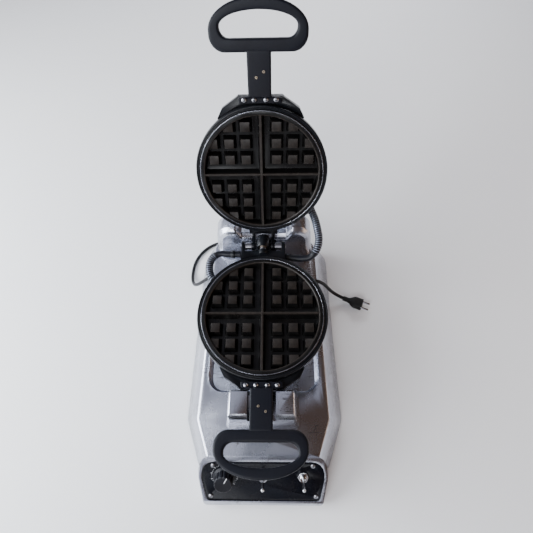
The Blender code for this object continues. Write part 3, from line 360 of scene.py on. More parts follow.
# %% Pans
def pan_profile():
    """Closed outline of the sheet, outside then inside; the back dips by a cosine bead at two thirds of its radius."""
    outside = [(0.0980, 0.0143), (0.0915, 0.0400)]
    bend = np.linspace(0, math.pi / 2, 10)
    outside += list(zip(0.0800 + 0.0100 * np.cos(bend), 0.0400 + 0.0100 * np.sin(bend)))
    r = np.linspace(0.0790, 0.0004, 40)
    bead = 0.0012 * np.exp(-((r - 0.055) / 0.004) ** 2)
    outside += list(zip(r, 0.0500 - bead))
    outside = np.array(outside)
    inside = outside[::-1] - [[0.0, 0.0014]]
    inside[:, 0] = np.clip(inside[:, 0] - 0.0014 * (inside[:, 1] < 0.0478), 0.0003, None)
    inside[-1, 1] = 0.0143
    return np.vstack([outside, inside])


for half, (body, place) in halves.items():
    shell = np.swapaxes(placed(turned(pan_profile(), 144), place), 0, 1)
    piece(f"{half}_pan", shell, body, "pan_silver", [f"{half}_casing"], wrap=True, sharp=35)

# %% [markdown]
# ## Handles
# Each handle is a moulded D and a stem that is screwed to the bracket. The bar of the D is wider beside the stem than
# elsewhere, so it is spanned between two outlines: at each angle round its middle a rounded box reaches from the
# inner one to the outer one. The stem is a row of rounded rectangles that swells where it meets its foot.

# %% Handle bars
def rounded_box(half_x, half_y, radius, steps=6):
    return fillet([(half_x, half_y, radius), (-half_x, half_y, radius), (-half_x, -half_y, radius),
                   (half_x, -half_y, radius)], steps)


def d_outline(half, near, far, corner, rise):
    """A D seen from the front: two round corners beside the stem, then half an ellipse x = a cos t, y = -b - c sin t."""
    arc = np.linspace(0, math.pi, 80)[1:-1]
    bow = np.column_stack([half * np.cos(arc), rise - far - rise * np.sin(arc)])
    corners = fillet([(half, rise - far, 0.0002), (half, -near, corner), (-half, -near, corner),
                      (-half, rise - far, 0.0002)], 16)
    return np.vstack([bow, corners[::-1][16:-16]])


def seen_from(outline, middle, angles):
    """Distance of a star-shaped outline from its middle at each angle, interpolated round the full turn."""
    outline = evenly(outline, 1500, closed=True)
    at = np.arctan2(outline[:, 1] - middle[1], outline[:, 0] - middle[0])
    far = np.linalg.norm(outline - middle, axis=1)
    order = np.argsort(at)
    return np.interp(angles, at[order], far[order], period=2 * math.pi)


def handle_bar(stations=240, half_thick=0.00575):
    """Rounded boxes spanned between the outer and the inner D; each is as wide as the gap between the two."""
    middle, angles = np.array([0.0, -0.1965]), np.linspace(0, 2 * math.pi, stations, endpoint=False)
    outer = seen_from(d_outline(0.0638, 0.1660, 0.2260, 0.020, 0.036), middle, angles)
    inner = seen_from(d_outline(0.0498, 0.1820, 0.2120, 0.012, 0.017), middle, angles)
    wide = (outer - inner) / 2
    section = rounded_box(1.0, 1.0, 0.5, 7)
    reach = (outer + inner)[:, None] / 2 + section[:, 0] * wide[:, None]
    depth = half_thick + 0.0005 + section[None, :, 1] * half_thick + 0 * reach
    return np.stack([middle[0] + reach * np.cos(angles)[:, None], middle[1] + reach * np.sin(angles)[:, None], depth], -1)


for half, (body, place) in halves.items():
    piece(f"{half}_handle_bar", placed(handle_bar(), place), body, "handle_black", [f"{half}_handle"], wrap=True, sharp=60)

# %% [markdown]
# The stem widens smoothly at its inner end into the foot that lies on the bracket, and sinks a little into the D at
# the other end, where the real moulding has a faint joint line. Two small eyelets are pressed through it.

# %% Stems, feet and eyelets
def stem_grid():
    """Rounded rectangles along y: half width is constant on the stem and swells by a smooth step at the foot."""
    y = np.concatenate([np.linspace(-0.1730, -0.1650, 16), np.linspace(-0.1640, -0.1034, 60)])
    foot = np.clip((y + 0.1130) / 0.0030, 0, 1)
    root = np.clip((-0.1655 - y) / 0.0040, 0, 1)
    root = root * root * (3 - 2 * root)
    half_width = 0.0160 + 0.0140 * foot * foot * (3 - 2 * foot)
    low = 0.0005 + 0.0042 * foot * foot * (3 - 2 * foot) + 0.0007 * root
    high = 0.0120 - 0.0007 * root
    section = rounded_box(1.0, 1.0, 0.20, 5)
    shape = np.empty((len(y), len(section), 3))
    shape[..., 0] = section[None, :, 0] * half_width[:, None]
    shape[..., 1] = y[:, None]
    shape[..., 2] = (low + high)[:, None] / 2 + section[None, :, 1] * (high - low)[:, None] / 2
    return shape


eyelet = fillet([(0.0007, -0.0002, 0.0002), (0.0018, -0.0002, 0.0002), (0.0018, 0.0005, 0.0002),
                 (0.0007, 0.0020, 0.0002)], 4)
for half, (body, place) in halves.items():
    piece(f"{half}_handle_stem", placed(stem_grid(), place), body, "handle_black", sharp=40)
    for i, (x, y) in enumerate([(-0.004, -0.1365), (0.006, -0.1435)]):
        ring = np.swapaxes(turned(eyelet, 32), 0, 1)
        piece(f"{half}_eyelet_{i + 1}", placed(ring, place @ Matrix.Translation((x, y, 0.0004))), body, "brass", wrap=True)

# %% [markdown]
# ## Screws
# Pan-head screws hold the panel, the brackets and the handles. The head is a dome, height h = d (1 - (r/R)^2)^0.6,
# with a cross sunk into it: the cross is where one of x and y is small and the other is not too large.

# %% Screw heads
def screw_head(radius, dome, sink=0.8):
    """Polar grid of the dome minus the cross recess, closed at the seat."""
    r = np.concatenate([np.linspace(0.02, 1, 26), [1.0, 0.9]]) * radius
    a = np.linspace(0, 2 * math.pi, 64, endpoint=False)
    x, y = r[:, None] * np.cos(a), r[:, None] * np.sin(a)
    narrow = np.minimum(np.abs(x), np.abs(y)) / radius
    longer = np.maximum(np.abs(x), np.abs(y)) / radius
    cross = np.clip((0.17 - narrow) / 0.06, 0, 1) * np.clip((0.62 - longer) / 0.08, 0, 1)
    z = dome * (0.35 + 0.65 * (1 - np.clip(r[:, None] / radius, 0, 1) ** 2.4)) - sink * dome * cross
    z[-2:] = 0.0
    return np.stack([x, y, z], -1)


panel_place = Matrix.Translation(PLATE + Vector((0, -0.203, -0.095))) @ Matrix.Rotation(math.radians(40), 4, "X")
for i, (x, along) in enumerate([(-0.076, 0.0075), (-0.0815, 0.0620), (0.076, 0.0075), (0.0815, 0.0620)]):
    spin = Matrix.Rotation(0.7 * i + 0.3, 4, "Z")
    head = placed(screw_head(0.0034, 0.0018), panel_place @ Matrix.Translation((x, -along, 0.0012)) @ spin)
    piece(f"panel_screw_head_{i + 1}", head, "base", "steel", [f"panel_screw_{i + 1}"], sharp=50)
for half, (body, place) in halves.items():
    for i, x in enumerate((-0.0225, -0.0082, 0.0082, 0.0225)):
        flipped = Matrix.Translation((x, -0.10775, 0.0045)) @ Matrix.Rotation(math.pi, 4, "X")
        head = placed(screw_head(0.0034, 0.0026), place @ flipped @ Matrix.Rotation(0.9 * i, 4, "Z"))
        piece(f"{half}_bracket_screw_head_{i + 1}", head, body, "steel", [f"{half}_bracket_screw_{i + 1}"], sharp=50)

# %% [markdown]
# ## Conduits
# The wires to both elements leave the yoke in a smooth black sleeve. Where they bend, a steel strip is wound round
# them as a guard, so the outside is one screw-shaped rib: the radius depends on (turns along the tube + angle round
# it), and the spiral comes out by itself. The lid's conduit bends when the lid moves; here it is built in the open
# position and given no body.

# %% Wound conduit
def conduit(marks, bare, radius=0.0056, pitch=0.0036, rib=0.0011, swell=0.0012, steps=28):
    """Smooth sleeve for the first stretch, then radius + rib |cos(pi (length / pitch + angle / 2 pi))|^0.7."""
    count = int(line_length(curved(marks, 200)) / pitch * 12)
    line = curved(marks, count)
    run = np.linspace(0, line_length(line), count)[:, None]
    a = np.linspace(0, 2 * math.pi, steps, endpoint=False)[None, :]
    guard = np.clip((run - bare) / 0.005, 0, 1)
    guard = guard * guard * (3 - 2 * guard)
    crest = guard * np.abs(np.cos(math.pi * (run / pitch + a / (2 * math.pi)))) ** 0.7
    r = radius + guard * (swell - rib) + rib * crest
    section = np.stack([r * np.cos(a), r * np.sin(a)], -1)
    return carried(section, line, (0.15, -0.35, 1.0)), crest


def from_plate(marks):
    return np.asarray(marks, float) + np.array(PLATE)


lower_marks = from_plate([(-0.0392, 0.1130, -0.0170), (-0.0600, 0.1132, -0.0170), (-0.0750, 0.1140, -0.0168),
                          (-0.0862, 0.1085, -0.0188), (-0.0918, 0.0985, -0.0218), (-0.0922, 0.0865, -0.0255),
                          (-0.0892, 0.0757, -0.0284), (-0.0815, 0.0672, -0.0302)])
lid_marks = from_plate([(0.0440, 0.1062, -0.0161), (0.0640, 0.1030, -0.0150), (0.0800, 0.1040, -0.0110),
                        (0.0900, 0.1130, -0.0020), (0.0940, 0.1270, 0.0060), (0.0920, 0.1440, 0.0120),
                        (0.0880, 0.1620, 0.0170), (0.0820, 0.1790, 0.0205)])
tube, crest = conduit(lower_marks, 0.040)
piece("lower_wound_conduit", tube, "iron", "conduit", ["lower_conduit"], sharp=70, attribute=("crest", crest))
tube, crest = conduit(lid_marks, 0.042)
lid_conduit = piece("lid_wound_conduit", tube, None, "conduit", sharp=70, attribute=("crest", crest))
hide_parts("lid_conduit")
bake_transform(lid_conduit)

# %% [markdown]
# A black turned gland closes each end of a conduit: a collar, a neck and a rolled lip.

# %% Conduit glands
def facing(start, towards):
    """Matrix at start whose Z looks towards the other point."""
    way = (Vector(towards) - Vector(start)).normalized()
    return Matrix.Translation(start) @ way.to_track_quat("Z", "Y").to_matrix().to_4x4()


gland = fillet([(0.0002, -0.0005, 0.0001), (0.0071, -0.0005, 0.0006), (0.0071, 0.0040, 0.0008), (0.0062, 0.0048, 0.0003),
                (0.0062, 0.0066, 0.0007), (0.0002, 0.0066, 0.0001)], 5)
gland_ends = [("lower_yoke_gland", "iron", lower_marks[0] - (0.0100, 0, 0), lower_marks[1], ["lower_conduit_yoke_ferrule"]),
              ("lower_case_gland", "iron", lower_marks[-1] + (0.0075, -0.0045, -0.0008), lower_marks[-2],
               ["lower_conduit_case_ferrule"]),
              ("lid_yoke_gland", "iron", lid_marks[0] - (0.0060, 0, 0), lid_marks[1], ["lid_conduit_yoke_ferrule"]),
              ("lid_case_gland", "lid", lid_marks[-1] + (-0.0026, 0.0040, 0.0012), lid_marks[-2], [])]
for name, body, start, towards, old in gland_ends:
    piece(name, placed(turned(gland, 48), facing(start, towards)), body, "rim_black", old, sharp=40)

# %% [markdown]
# ## Strain relief, tie and plug
# A rubber boot with rings guards the cord where it leaves the tower. A thin strap holds the coil. The plug is one
# moulding whose section changes from round at the cord to a flat oval at its face, with two pins.

# %% Strain relief
boot_r = np.linspace(0.0085, 0.0046, 90)
boot_y = np.linspace(0.0040, 0.0240, 90)
ribs = boot_r - 0.0007 * (0.5 + 0.5 * np.cos(2 * math.pi * np.linspace(0, 6, 90)))
boot = np.vstack([[(0.0002, 0.0), (0.0078, 0.0), (0.0085, 0.0006), (0.0085, 0.0034)], np.column_stack([ribs, boot_y]),
                  [(0.0035, 0.0243), (0.0002, 0.0243)]])
boot_place = Matrix.Translation((-0.050, 0.1744, 0.088)) @ Matrix.Rotation(-math.pi / 2, 4, "X")
relief = piece("strain_relief", placed(turned(boot, 48), boot_place), "base", "rubber", ["cord_gland"], sharp=50)

# %% Tie round the coil
tie_angle = math.radians(135) - 2 * math.pi * tie_turn
tie_way = np.array([math.cos(tie_angle), math.sin(tie_angle), 0.0])
tie_middle = np.array([*coil_middle, 2 * stack_half + 0.0010]) + tie_way * coil_mean
outline = evenly(fillet([(0.0074, 0.0072, 0.0036), (-0.0074, 0.0072, 0.0036), (-0.0074, -0.0072, 0.0036),
                         (0.0074, -0.0072, 0.0036)], 10), 72, closed=True)
tie_path = tie_middle + outline[:, :1] * tie_way + outline[:, 1:] * np.array([0, 0, 1.0])
along_cord = np.cross(tie_way, [0, 0, 1.0])
strap = carried(rounded_box(0.00045, 0.0050, 0.0004, 3), tie_path, along_cord, wrap=True)
strap[..., 2] = np.maximum(strap[..., 2], 0.0001)
cord_tie = piece("cord_tie", strap, "base", "rubber", wrap=True, sharp=50)

# %% Plug
end, before = Vector(cord_line[-1]), Vector(cord_line[-12])
plug_way = end - before
plug_way.z = 0
plug_way.normalize()
plug_place = Matrix.Translation(end - plug_way * 0.002) @ plug_way.to_track_quat("Z", "Y").to_matrix().to_4x4()


def plug_body():
    """Superellipse sections along z: |x/a|^n + |y/b|^n = 1, with a, b and n sliding from round to a flat oval."""
    z = np.concatenate([[0.0, 0.0], np.linspace(0.0, 0.0385, 60), [0.0390, 0.0390]])
    mould = np.clip((z - 0.010) / 0.014, 0, 1)
    mould = mould * mould * (3 - 2 * mould)
    ribs = 0.0005 * np.clip(np.sin(z / 0.0028 * 2 * math.pi), 0, 1) * (z < 0.011) * (z > 0.001)
    a = 0.0050 + 0.0060 * mould - ribs
    b = 0.0050 + 0.0030 * mould - ribs
    a[[0, -1]], b[[0, -1]] = 0.002, 0.002
    a[1], b[1] = 0.0046, 0.0046
    a[-2], b[-2] = a[-3] - 0.0008, b[-3] - 0.0008
    n = 2 / (2 + 1.6 * mould)
    t = np.linspace(0, 2 * math.pi, 56, endpoint=False)
    c, s = np.cos(t)[None, :], np.sin(t)[None, :]
    x = a[:, None] * np.sign(c) * np.abs(c) ** n[:, None]
    y = b[:, None] * np.sign(s) * np.abs(s) ** n[:, None]
    return np.stack([x, y, z[:, None] + 0 * t], -1)


pin = [(0.0002, 0.036), (0.0024, 0.036), (0.0024, 0.0512), (0.0021, 0.0525), (0.0014, 0.0533), (0.0002, 0.0535)]
plug = piece("mains_plug", placed(plug_body(), plug_place), "base", "rubber", ["power_plug"], sharp=50)
plug_pins = piece("plug_pins", [placed(turned(pin, 32) + [side * 0.0065, 0, 0], plug_place) for side in (-1, 1)],
                  "base", "chrome", sharp=50)

# %% [markdown]
# ## The thermostat knob and its dial
# The knob has a thin skirt and a fluted grip. A flute is a notch in the radius that comes round twelve times:
# r = R - depth * |cos(6 a)|^8. A white line is let into the top. The dial is a fan of printed bars round it.

# %% Knob
knob_place = panel_place @ Matrix.Translation((-0.059, -0.026, 0.001))
knob_profile = fillet([(0.0003, 0.0010, 0.0001), (0.0172, 0.0010, 0.0004), (0.0174, 0.0040, 0.0012),
                       (0.0146, 0.0056, 0.0012), (0.0139, 0.0190, 0.0016), (0.0110, 0.0186, 0.0010), (0.0003, 0.0184, 0.0001)], 9)
knob_grid = turned(knob_profile, 240)
radius = np.hypot(knob_grid[..., 0], knob_grid[..., 1])
grip_band = np.clip((knob_grid[..., 2] - 0.0052) / 0.0010, 0, 1) * np.clip((radius - 0.0118) / 0.0012, 0, 1)
angle = np.arctan2(knob_grid[..., 1], knob_grid[..., 0])
notch = 1 - grip_band * 0.085 * np.abs(np.cos(6 * angle)) ** 8
knob_grid[..., 0] *= notch
knob_grid[..., 1] *= notch
piece("knob", placed(knob_grid, knob_place), "knob", "knob_black", ["thermostat_knob"], sharp=40)
pointer_bar = np.array([(0.0035, 0.0), (0.0128, 0.0)])
pointer_line = np.column_stack([evenly(pointer_bar, 12), np.full(12, 0.01855)])
pointer = carried(rounded_box(0.0006, 0.0003, 0.0002, 3), pointer_line, (0, 0, 1))
pointing = knob_place @ Matrix.Rotation(math.radians(62), 4, "Z")
piece("knob_pointer", placed(pointer, pointing), "knob", "knob_black", sharp=40)

# %% Printed dial
def bars(angles, near, far, wide, high=0.00012):
    """One thin rounded bar per angle, standing on the panel: the same small grid turned about the knob's axis."""
    line = np.column_stack([np.linspace(near, far, 4), np.zeros(4), np.full(4, high / 2)])
    bar = carried(rounded_box(wide / 2, high / 2, high / 4, 2), line, (0, 0, 1))
    c, s = np.cos(angles)[:, None, None], np.sin(angles)[:, None, None]
    return list(np.stack([c * bar[..., 0] - s * bar[..., 1], s * bar[..., 0] + c * bar[..., 1], bar[..., 2] + 0 * c], -1))


sweep = np.radians(np.linspace(225, -45, 28))          # a long bar at every third place
dial = bars(sweep[::3], 0.0188, 0.0216, 0.0007) + bars(np.delete(sweep, np.s_[::3]), 0.0190, 0.0203, 0.0004)
on_panel = knob_place @ Matrix.Translation((0, 0, 0.0001))
piece("dial_marks", [placed(bar, on_panel) for bar in dial], "base", "panel_black", sharp=40)

# %% [markdown]
# ## Toggle switches
# Each switch has a bat-shaped lever with a round end, turned on a lathe, and a threaded bush: the thread is a sine
# along the bush whose phase turns with the angle.

# %% Toggles
bat = [(0.0002, -0.0020), (0.0013, -0.0017), (0.0018, -0.0004), (0.0017, 0.0030), (0.0015, 0.0070), (0.0017, 0.0110),
       (0.0023, 0.0160), (0.0026, 0.0182), (0.00245, 0.0198), (0.0017, 0.0209), (0.0002, 0.0213)]
bat = curved(np.array(bat), 60)
for x, tag in ((0.0, "centre"), (0.0615, "right")):
    lever_place = panel_place @ Matrix.Translation((x, -0.026, 0.0052)) @ Matrix.Rotation(math.radians(13), 4, "X")
    lever = placed(turned(bat, 40), lever_place)
    piece(f"toggle_bat_{tag}", lever, f"toggle_{tag}", "chrome", [f"toggle_lever_{tag}"], sharp=60)
    height = np.linspace(0.0022, 0.0076, 60)[:, None]
    a = np.linspace(0, 2 * math.pi, 40, endpoint=False)[None, :]
    r = 0.00555 + 0.00022 * np.sin(2 * math.pi * height / 0.0008 + a)
    thread = np.stack([r * np.cos(a), r * np.sin(a), height + 0 * a], -1)
    bush_place = panel_place @ Matrix.Translation((x, -0.026, 0))
    piece(f"toggle_thread_{tag}", placed(thread, bush_place), "base", "chrome", sharp=70)

# %% [markdown]
# ## Softened castings
# The housing, tower, cradle, brackets and cooking plates keep their CAD shape, but a real casting has no knife
# edges. A merged copy gets a bevel, and the highlights that run along the rounded edges are most of what makes cast
# metal look like metal. Each copy stands for its node.

# %% Copies with rounded edges
def softened(node, width, slot, angle=28, depth=None):
    """Merged copy of a CAD node with a live bevel on every edge sharper than the angle."""
    mesh = nodes[node].data.copy()
    mesh.name = node + "_cast"
    work = bmesh.new()
    work.from_mesh(mesh)
    bmesh.ops.remove_doubles(work, verts=work.verts, dist=1e-5)
    bmesh.ops.dissolve_limit(work, angle_limit=math.radians(1.0), verts=work.verts, edges=work.edges)
    work.to_mesh(mesh)
    work.free()
    if depth:
        count = len(mesh.vertices)
        co = np.empty(count * 3)
        mesh.vertices.foreach_get("co", co)
        local = placed(co.reshape(-1, 3), halves[depth][1].inverted())
        local[:, 2] += 0.02 * (np.hypot(local[:, 0], local[:, 1]) > 0.0893)
        layer = mesh.attributes.new("depth", "FLOAT", "POINT")
        layer.data.foreach_set("value", local[:, 2].astype(np.float32))
    mesh.shade_smooth()
    copy = bpy.data.objects.new(node + "_cast", mesh)
    bpy.context.scene.collection.objects.link(copy)
    bevel = copy.modifiers.new("soft edges", "BEVEL")
    bevel.width, bevel.segments, bevel.limit_method = width, 2, "ANGLE"
    bevel.angle_limit, bevel.harden_normals, bevel.use_clamp_overlap = math.radians(angle), True, True
    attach(copy, nodes[node]["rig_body"])
    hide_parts(node)
    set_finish(copy, slot)
    print(f"softened {node}: {len(mesh.polygons)} faces, edges {width * 1000} mm")
    return copy


castings = {"base_housing": 0.0012, "rear_tower": 0.0012, "front_cradle": 0.0010}
for name, width in castings.items():
    softened(name, width, "cast_silver")
for name in ("hinge_yoke", "lid_hinge_arms", "bearing_bracket", "lower_handle_bracket", "lid_handle_bracket"):
    softened(name, 0.0008, "rim_black")
for half in halves:
    softened(f"{half}_grid_plate", 0.0007, "plate_black", depth=half)
softened("control_panel", 0.0003, "panel_black")
for name in ("toggle_nut_centre", "toggle_nut_right"):
    softened(name, 0.0002, "chrome")

# %% [markdown]
# ## Finishes
# Every finish is built from the same few effects, each a node group: slow drift of colour, fine grain for bump, and
# fine scratches. A group gives out only a colour or a number. The shader stays in the material, where its constant
# values are set.

# %% Effects as node groups
def new_group(name, inputs, outputs):
    """Empty node group with named sockets: (name, socket type, default)."""
    group = bpy.data.node_groups.new(name, "ShaderNodeTree")
    for label, kind, value in inputs:
        made = group.interface.new_socket(label, in_out="INPUT", socket_type="NodeSocket" + kind)
        if value is not None:
            made.default_value = value
    for label, kind in outputs:
        group.interface.new_socket(label, in_out="OUTPUT", socket_type="NodeSocket" + kind)
    return group, group.nodes.new("NodeGroupInput"), group.nodes.new("NodeGroupOutput")


def add(tree, kind, links=(), **settings):
    """One node with its settings; links are (own input, output socket) or (own input, plain value)."""
    node = tree.nodes.new("ShaderNode" + kind)
    for key, value in settings.items():
        setattr(node, key, value)
    for socket, source in links:
        if isinstance(source, bpy.types.NodeSocket):
            tree.links.new(source, node.inputs[socket])
        else:
            node.inputs[socket].default_value = source
    return node


def math_node(tree, operation, first, second, clamp=False):
    return add(tree, "Math", [(0, first), (1, second)], operation=operation, use_clamp=clamp).outputs[0]


drift, gin, gout = new_group("colour drift", [("Vector", "Vector", None), ("First", "Color", (1, 1, 1, 1)),
                                              ("Second", "Color", (0, 0, 0, 1)), ("Scale", "Float", 20.0)],
                             [("Colour", "Color"), ("Mask", "Float")])
noise = add(drift, "TexNoise", [("Vector", gin.outputs["Vector"]), ("Scale", gin.outputs["Scale"]), ("Detail", 5.0),
                                ("Roughness", 0.6)])
spread = add(drift, "MapRange", [(0, noise.outputs[0]), (1, 0.35), (2, 0.65)])
mix = add(drift, "Mix", [(0, spread.outputs[0]), (6, gin.outputs["First"]), (7, gin.outputs["Second"])], data_type="RGBA")
drift.links.new(mix.outputs[2], gout.inputs["Colour"])
drift.links.new(spread.outputs[0], gout.inputs["Mask"])

scratch, gin, gout = new_group("fine scratches", [("Vector", "Vector", None), ("Scale", "Float", 30.0),
                                                  ("Amount", "Float", 0.5)], [("Mask", "Float")])
marks = []
for turn, stretch in (((0.2, 0.1, 0.5), (1, 14, 9)), ((0.4, 1.2, 2.0), (12, 1, 14)), ((1.3, 0.3, 1.1), (9, 12, 1))):
    mapped = add(scratch, "Mapping", [("Vector", gin.outputs["Vector"]), ("Rotation", turn), ("Scale", stretch)])
    lines = add(scratch, "TexNoise", [("Vector", mapped.outputs[0]), ("Scale", gin.outputs["Scale"]), ("Detail", 2.0)])
    middle = math_node(scratch, "ABSOLUTE", math_node(scratch, "SUBTRACT", lines.outputs[0], 0.5), 0.0)
    marks.append(add(scratch, "MapRange", [(0, middle), (1, 0.010), (2, 0.002)]).outputs[0])
patches = add(scratch, "TexNoise", [("Vector", gin.outputs["Vector"]), ("Scale", 22.0), ("Detail", 2.0)])
where = add(scratch, "MapRange", [(0, patches.outputs[0]), (1, 0.50), (2, 0.66)])
all_marks = math_node(scratch, "MAXIMUM", math_node(scratch, "MAXIMUM", marks[0], marks[1]), marks[2])
in_patches = math_node(scratch, "MULTIPLY", all_marks, where.outputs[0])
kept = math_node(scratch, "MULTIPLY", in_patches, gin.outputs["Amount"], True)
scratch.links.new(kept, gout.inputs["Mask"])

grain, gin, gout = new_group("surface grain", [("Vector", "Vector", None), ("Scale", "Float", 600.0),
                                               ("Waves", "Float", 0.3)], [("Height", "Float")])
fine = add(grain, "TexNoise", [("Vector", gin.outputs["Vector"]), ("Scale", gin.outputs["Scale"]), ("Detail", 4.0)])
broad = add(grain, "TexNoise", [("Vector", gin.outputs["Vector"]), ("Scale", 60.0), ("Detail", 2.0)])
height = math_node(grain, "ADD", fine.outputs[0], math_node(grain, "MULTIPLY", broad.outputs[0], gin.outputs["Waves"]))
grain.links.new(height, gout.inputs["Height"])
print("effects:", [g.name for g in bpy.data.node_groups])

# %% [markdown]
# A finish is a recipe: two colours that drift into each other, a roughness range, how metallic it is, and how strong
# grain and scratches are. `finish` places the groups with those values.

# %% The recipe
def finish(name, first, second, rough, metallic=0.0, scale=18.0, grain_scale=900.0, bump=0.05, scratches=0.3,
           scratch_colour=(0.08, 0.08, 0.08, 1), coat=0.0, waves=0.3, mirror=0.5):
    """Principled material: drifted colour, scratches over it, roughness that follows both, and bumps from the grain."""
    material = bpy.data.materials.new(name)
    material.use_nodes = True
    tree = material.node_tree
    shader = tree.nodes["Principled BSDF"]
    place = add(tree, "TexCoord").outputs["Object"]
    colour = add(tree, "Group", [], node_tree=drift)
    marks = add(tree, "Group", [], node_tree=scratch)
    rise = add(tree, "Group", [], node_tree=grain)
    for group, values in ((colour, {"First": (*first, 1), "Second": (*second, 1), "Scale": scale}),
                          (marks, {"Scale": 9.0, "Amount": scratches}), (rise, {"Scale": grain_scale, "Waves": waves})):
        tree.links.new(place, group.inputs["Vector"])
        for key, value in values.items():
            group.inputs[key].default_value = value
    painted = add(tree, "Mix", [(0, marks.outputs["Mask"]), (6, colour.outputs["Colour"]), (7, scratch_colour)],
                  data_type="RGBA")
    tree.links.new(painted.outputs[2], shader.inputs["Base Color"])
    dull = add(tree, "MapRange", [(0, colour.outputs["Mask"]), (3, rough[0]), (4, rough[1])])
    rubbed = math_node(tree, "ADD", dull.outputs[0], math_node(tree, "MULTIPLY", marks.outputs["Mask"], 0.15), True)
    tree.links.new(rubbed, shader.inputs["Roughness"])
    relief = add(tree, "Bump", [("Height", rise.outputs["Height"]), ("Strength", bump), ("Distance", 0.0006)])
    tree.links.new(relief.outputs[0], shader.inputs["Normal"])
    shader.inputs["Metallic"].default_value = metallic
    shader.inputs["Coat Weight"].default_value = coat
    shader.inputs["Specular IOR Level"].default_value = mirror
    return material


looks = {
    "cast_silver": finish("cast silver", (0.58, 0.60, 0.67), (0.44, 0.45, 0.51), (0.20, 0.32), 1.0, 14, 1400, 0.08, 0.9,
                          (0.05, 0.04, 0.035, 1)),
    "pan_silver": finish("pressed pan", (0.60, 0.62, 0.66), (0.46, 0.48, 0.52), (0.14, 0.26), 1.0, 20, 700, 0.04, 0.5),
    "rim_black": finish("cast rim", (0.004, 0.005, 0.007), (0.003, 0.003, 0.004), (0.26, 0.40), 0.0, 24, 1500, 0.08, 0.15,
                        (0.03, 0.03, 0.035, 1), mirror=0.25),
    "handle_black": finish("moulded handle", (0.004, 0.005, 0.009), (0.003, 0.003, 0.006), (0.42, 0.54), 0.0, 16, 1800,
                           0.08, 0.12, (0.02, 0.02, 0.024, 1), mirror=0.2),
    "panel_black": finish("enamelled panel", (0.003, 0.004, 0.007), (0.002, 0.002, 0.004), (0.20, 0.32), 0.0, 30, 900, 0.03,
                          0.15, (0.03, 0.028, 0.025, 1), mirror=0.25),
    "knob_black": finish("moulded knob", (0.004, 0.005, 0.009), (0.003, 0.003, 0.005), (0.30, 0.42), 0.0, 40, 1500, 0.06,
                         0.15, mirror=0.3),
    "chrome": finish("chrome", (0.78, 0.79, 0.82), (0.62, 0.63, 0.66), (0.07, 0.14), 1.0, 60, 900, 0.02, 0.3),
    "steel": finish("plain steel", (0.42, 0.42, 0.45), (0.28, 0.28, 0.30), (0.22, 0.36), 1.0, 60, 900, 0.06, 0.5),
    "rubber": finish("rubber", (0.006, 0.006, 0.007), (0.010, 0.009, 0.009), (0.55, 0.70), 0.0, 40, 1600, 0.15,
                     0.2, mirror=0.3),
    "cord_black": finish("cord sheath", (0.005, 0.005, 0.007), (0.009, 0.009, 0.010), (0.34, 0.48), 0.0, 50, 1600,
                         0.08, 0.2, mirror=0.3),
    "brass": finish("plated eyelet", (0.50, 0.42, 0.30), (0.26, 0.21, 0.16), (0.26, 0.40), 1.0, 60, 900, 0.06, 0.5),
    # painted highlight: the bead's bright metal colour draws the thin highlight along the plate's inner edge
    "painted_highlight_edge": finish("painted highlight edge", (0.62, 0.64, 0.70), (0.10, 0.10, 0.12), (0.16, 0.34), 1.0, 34, 900, 0.05, 0.3),
    "white_print": finish("white print", (0.75, 0.76, 0.78), (0.60, 0.61, 0.62), (0.45, 0.60), 0.0, 120, 1500, 0.05, 0.5),
}

# %% [markdown]
# Two finishes need more. The cooking plates are black with baked oil and glossier in the valleys. The tops of the studs
# are painted a lighter brown, a painted highlight, and made rougher: the depth below the cooking face, kept on each
# corner of the mesh, steers that. On the conduit a narrow band along the crest of the rib turns bright bluish metal,
# and the rest stays black.

# %% Plates and conduit
def steer(material, attribute, low, high, colour, rough, metallic=None):
    """Where the mesh's own number passes from low to high, colour and roughness (and metal) turn into these."""
    tree = material.node_tree
    shader = tree.nodes["Principled BSDF"]
    number = add(tree, "Attribute", attribute_name=attribute).outputs["Fac"]
    noise = add(tree, "TexNoise", [("Vector", add(tree, "TexCoord").outputs["Object"]), ("Scale", 160.0), ("Detail", 4.0)])
    ragged = add(tree, "MapRange", [(0, noise.outputs[0]), (1, 0.3), (2, 0.7), (3, 0.45), (4, 1.0)])
    reached = add(tree, "MapRange", [(0, number), (1, low), (2, high)])
    mask = math_node(tree, "MULTIPLY", reached.outputs[0], ragged.outputs[0], True)
    for socket, value in (("Base Color", (*colour, 1)), ("Roughness", rough)):
        old = shader.inputs[socket].links[0].from_socket
        kind, a, b, out = ("RGBA", 6, 7, 2) if socket == "Base Color" else ("FLOAT", 2, 3, 0)
        mixed = add(tree, "Mix", [(0, mask), (a, old), (b, value)], data_type=kind)
        tree.links.new(mixed.outputs[out], shader.inputs[socket])
    if metallic is not None:
        tree.links.new(math_node(tree, "MULTIPLY", mask, metallic), shader.inputs["Metallic"])
    return material


plate = finish("seasoned plate", (0.004, 0.0035, 0.0035), (0.002, 0.002, 0.002), (0.24, 0.42), 0.0, 30, 900, 0.12, 0.3,
               (0.03, 0.025, 0.022, 1), waves=1.2, mirror=0.3)
# painted highlight: where the depth is small, on the tops of the studs, the colour turns a lighter brown; the tops are
# also made rougher
looks["plate_black"] = steer(plate, "depth", 0.0040, 0.0022, (0.020, 0.015, 0.012), 0.46)
wound = finish("wound conduit", (0.005, 0.006, 0.011), (0.004, 0.004, 0.006), (0.30, 0.45), 0.0, 60, 900, 0.05, 0.2,
               mirror=0.3)
# a narrow band along the crest of the rib turns bright bluish metal; the rest of the guard stays black
looks["conduit"] = steer(wound, "crest", 0.93, 1.0, (0.42, 0.46, 0.58), 0.26, 1.0)

# %% [markdown]
# Each piece already names its slot, and a CAD node that is still shown takes the finish of the slot that fits it.

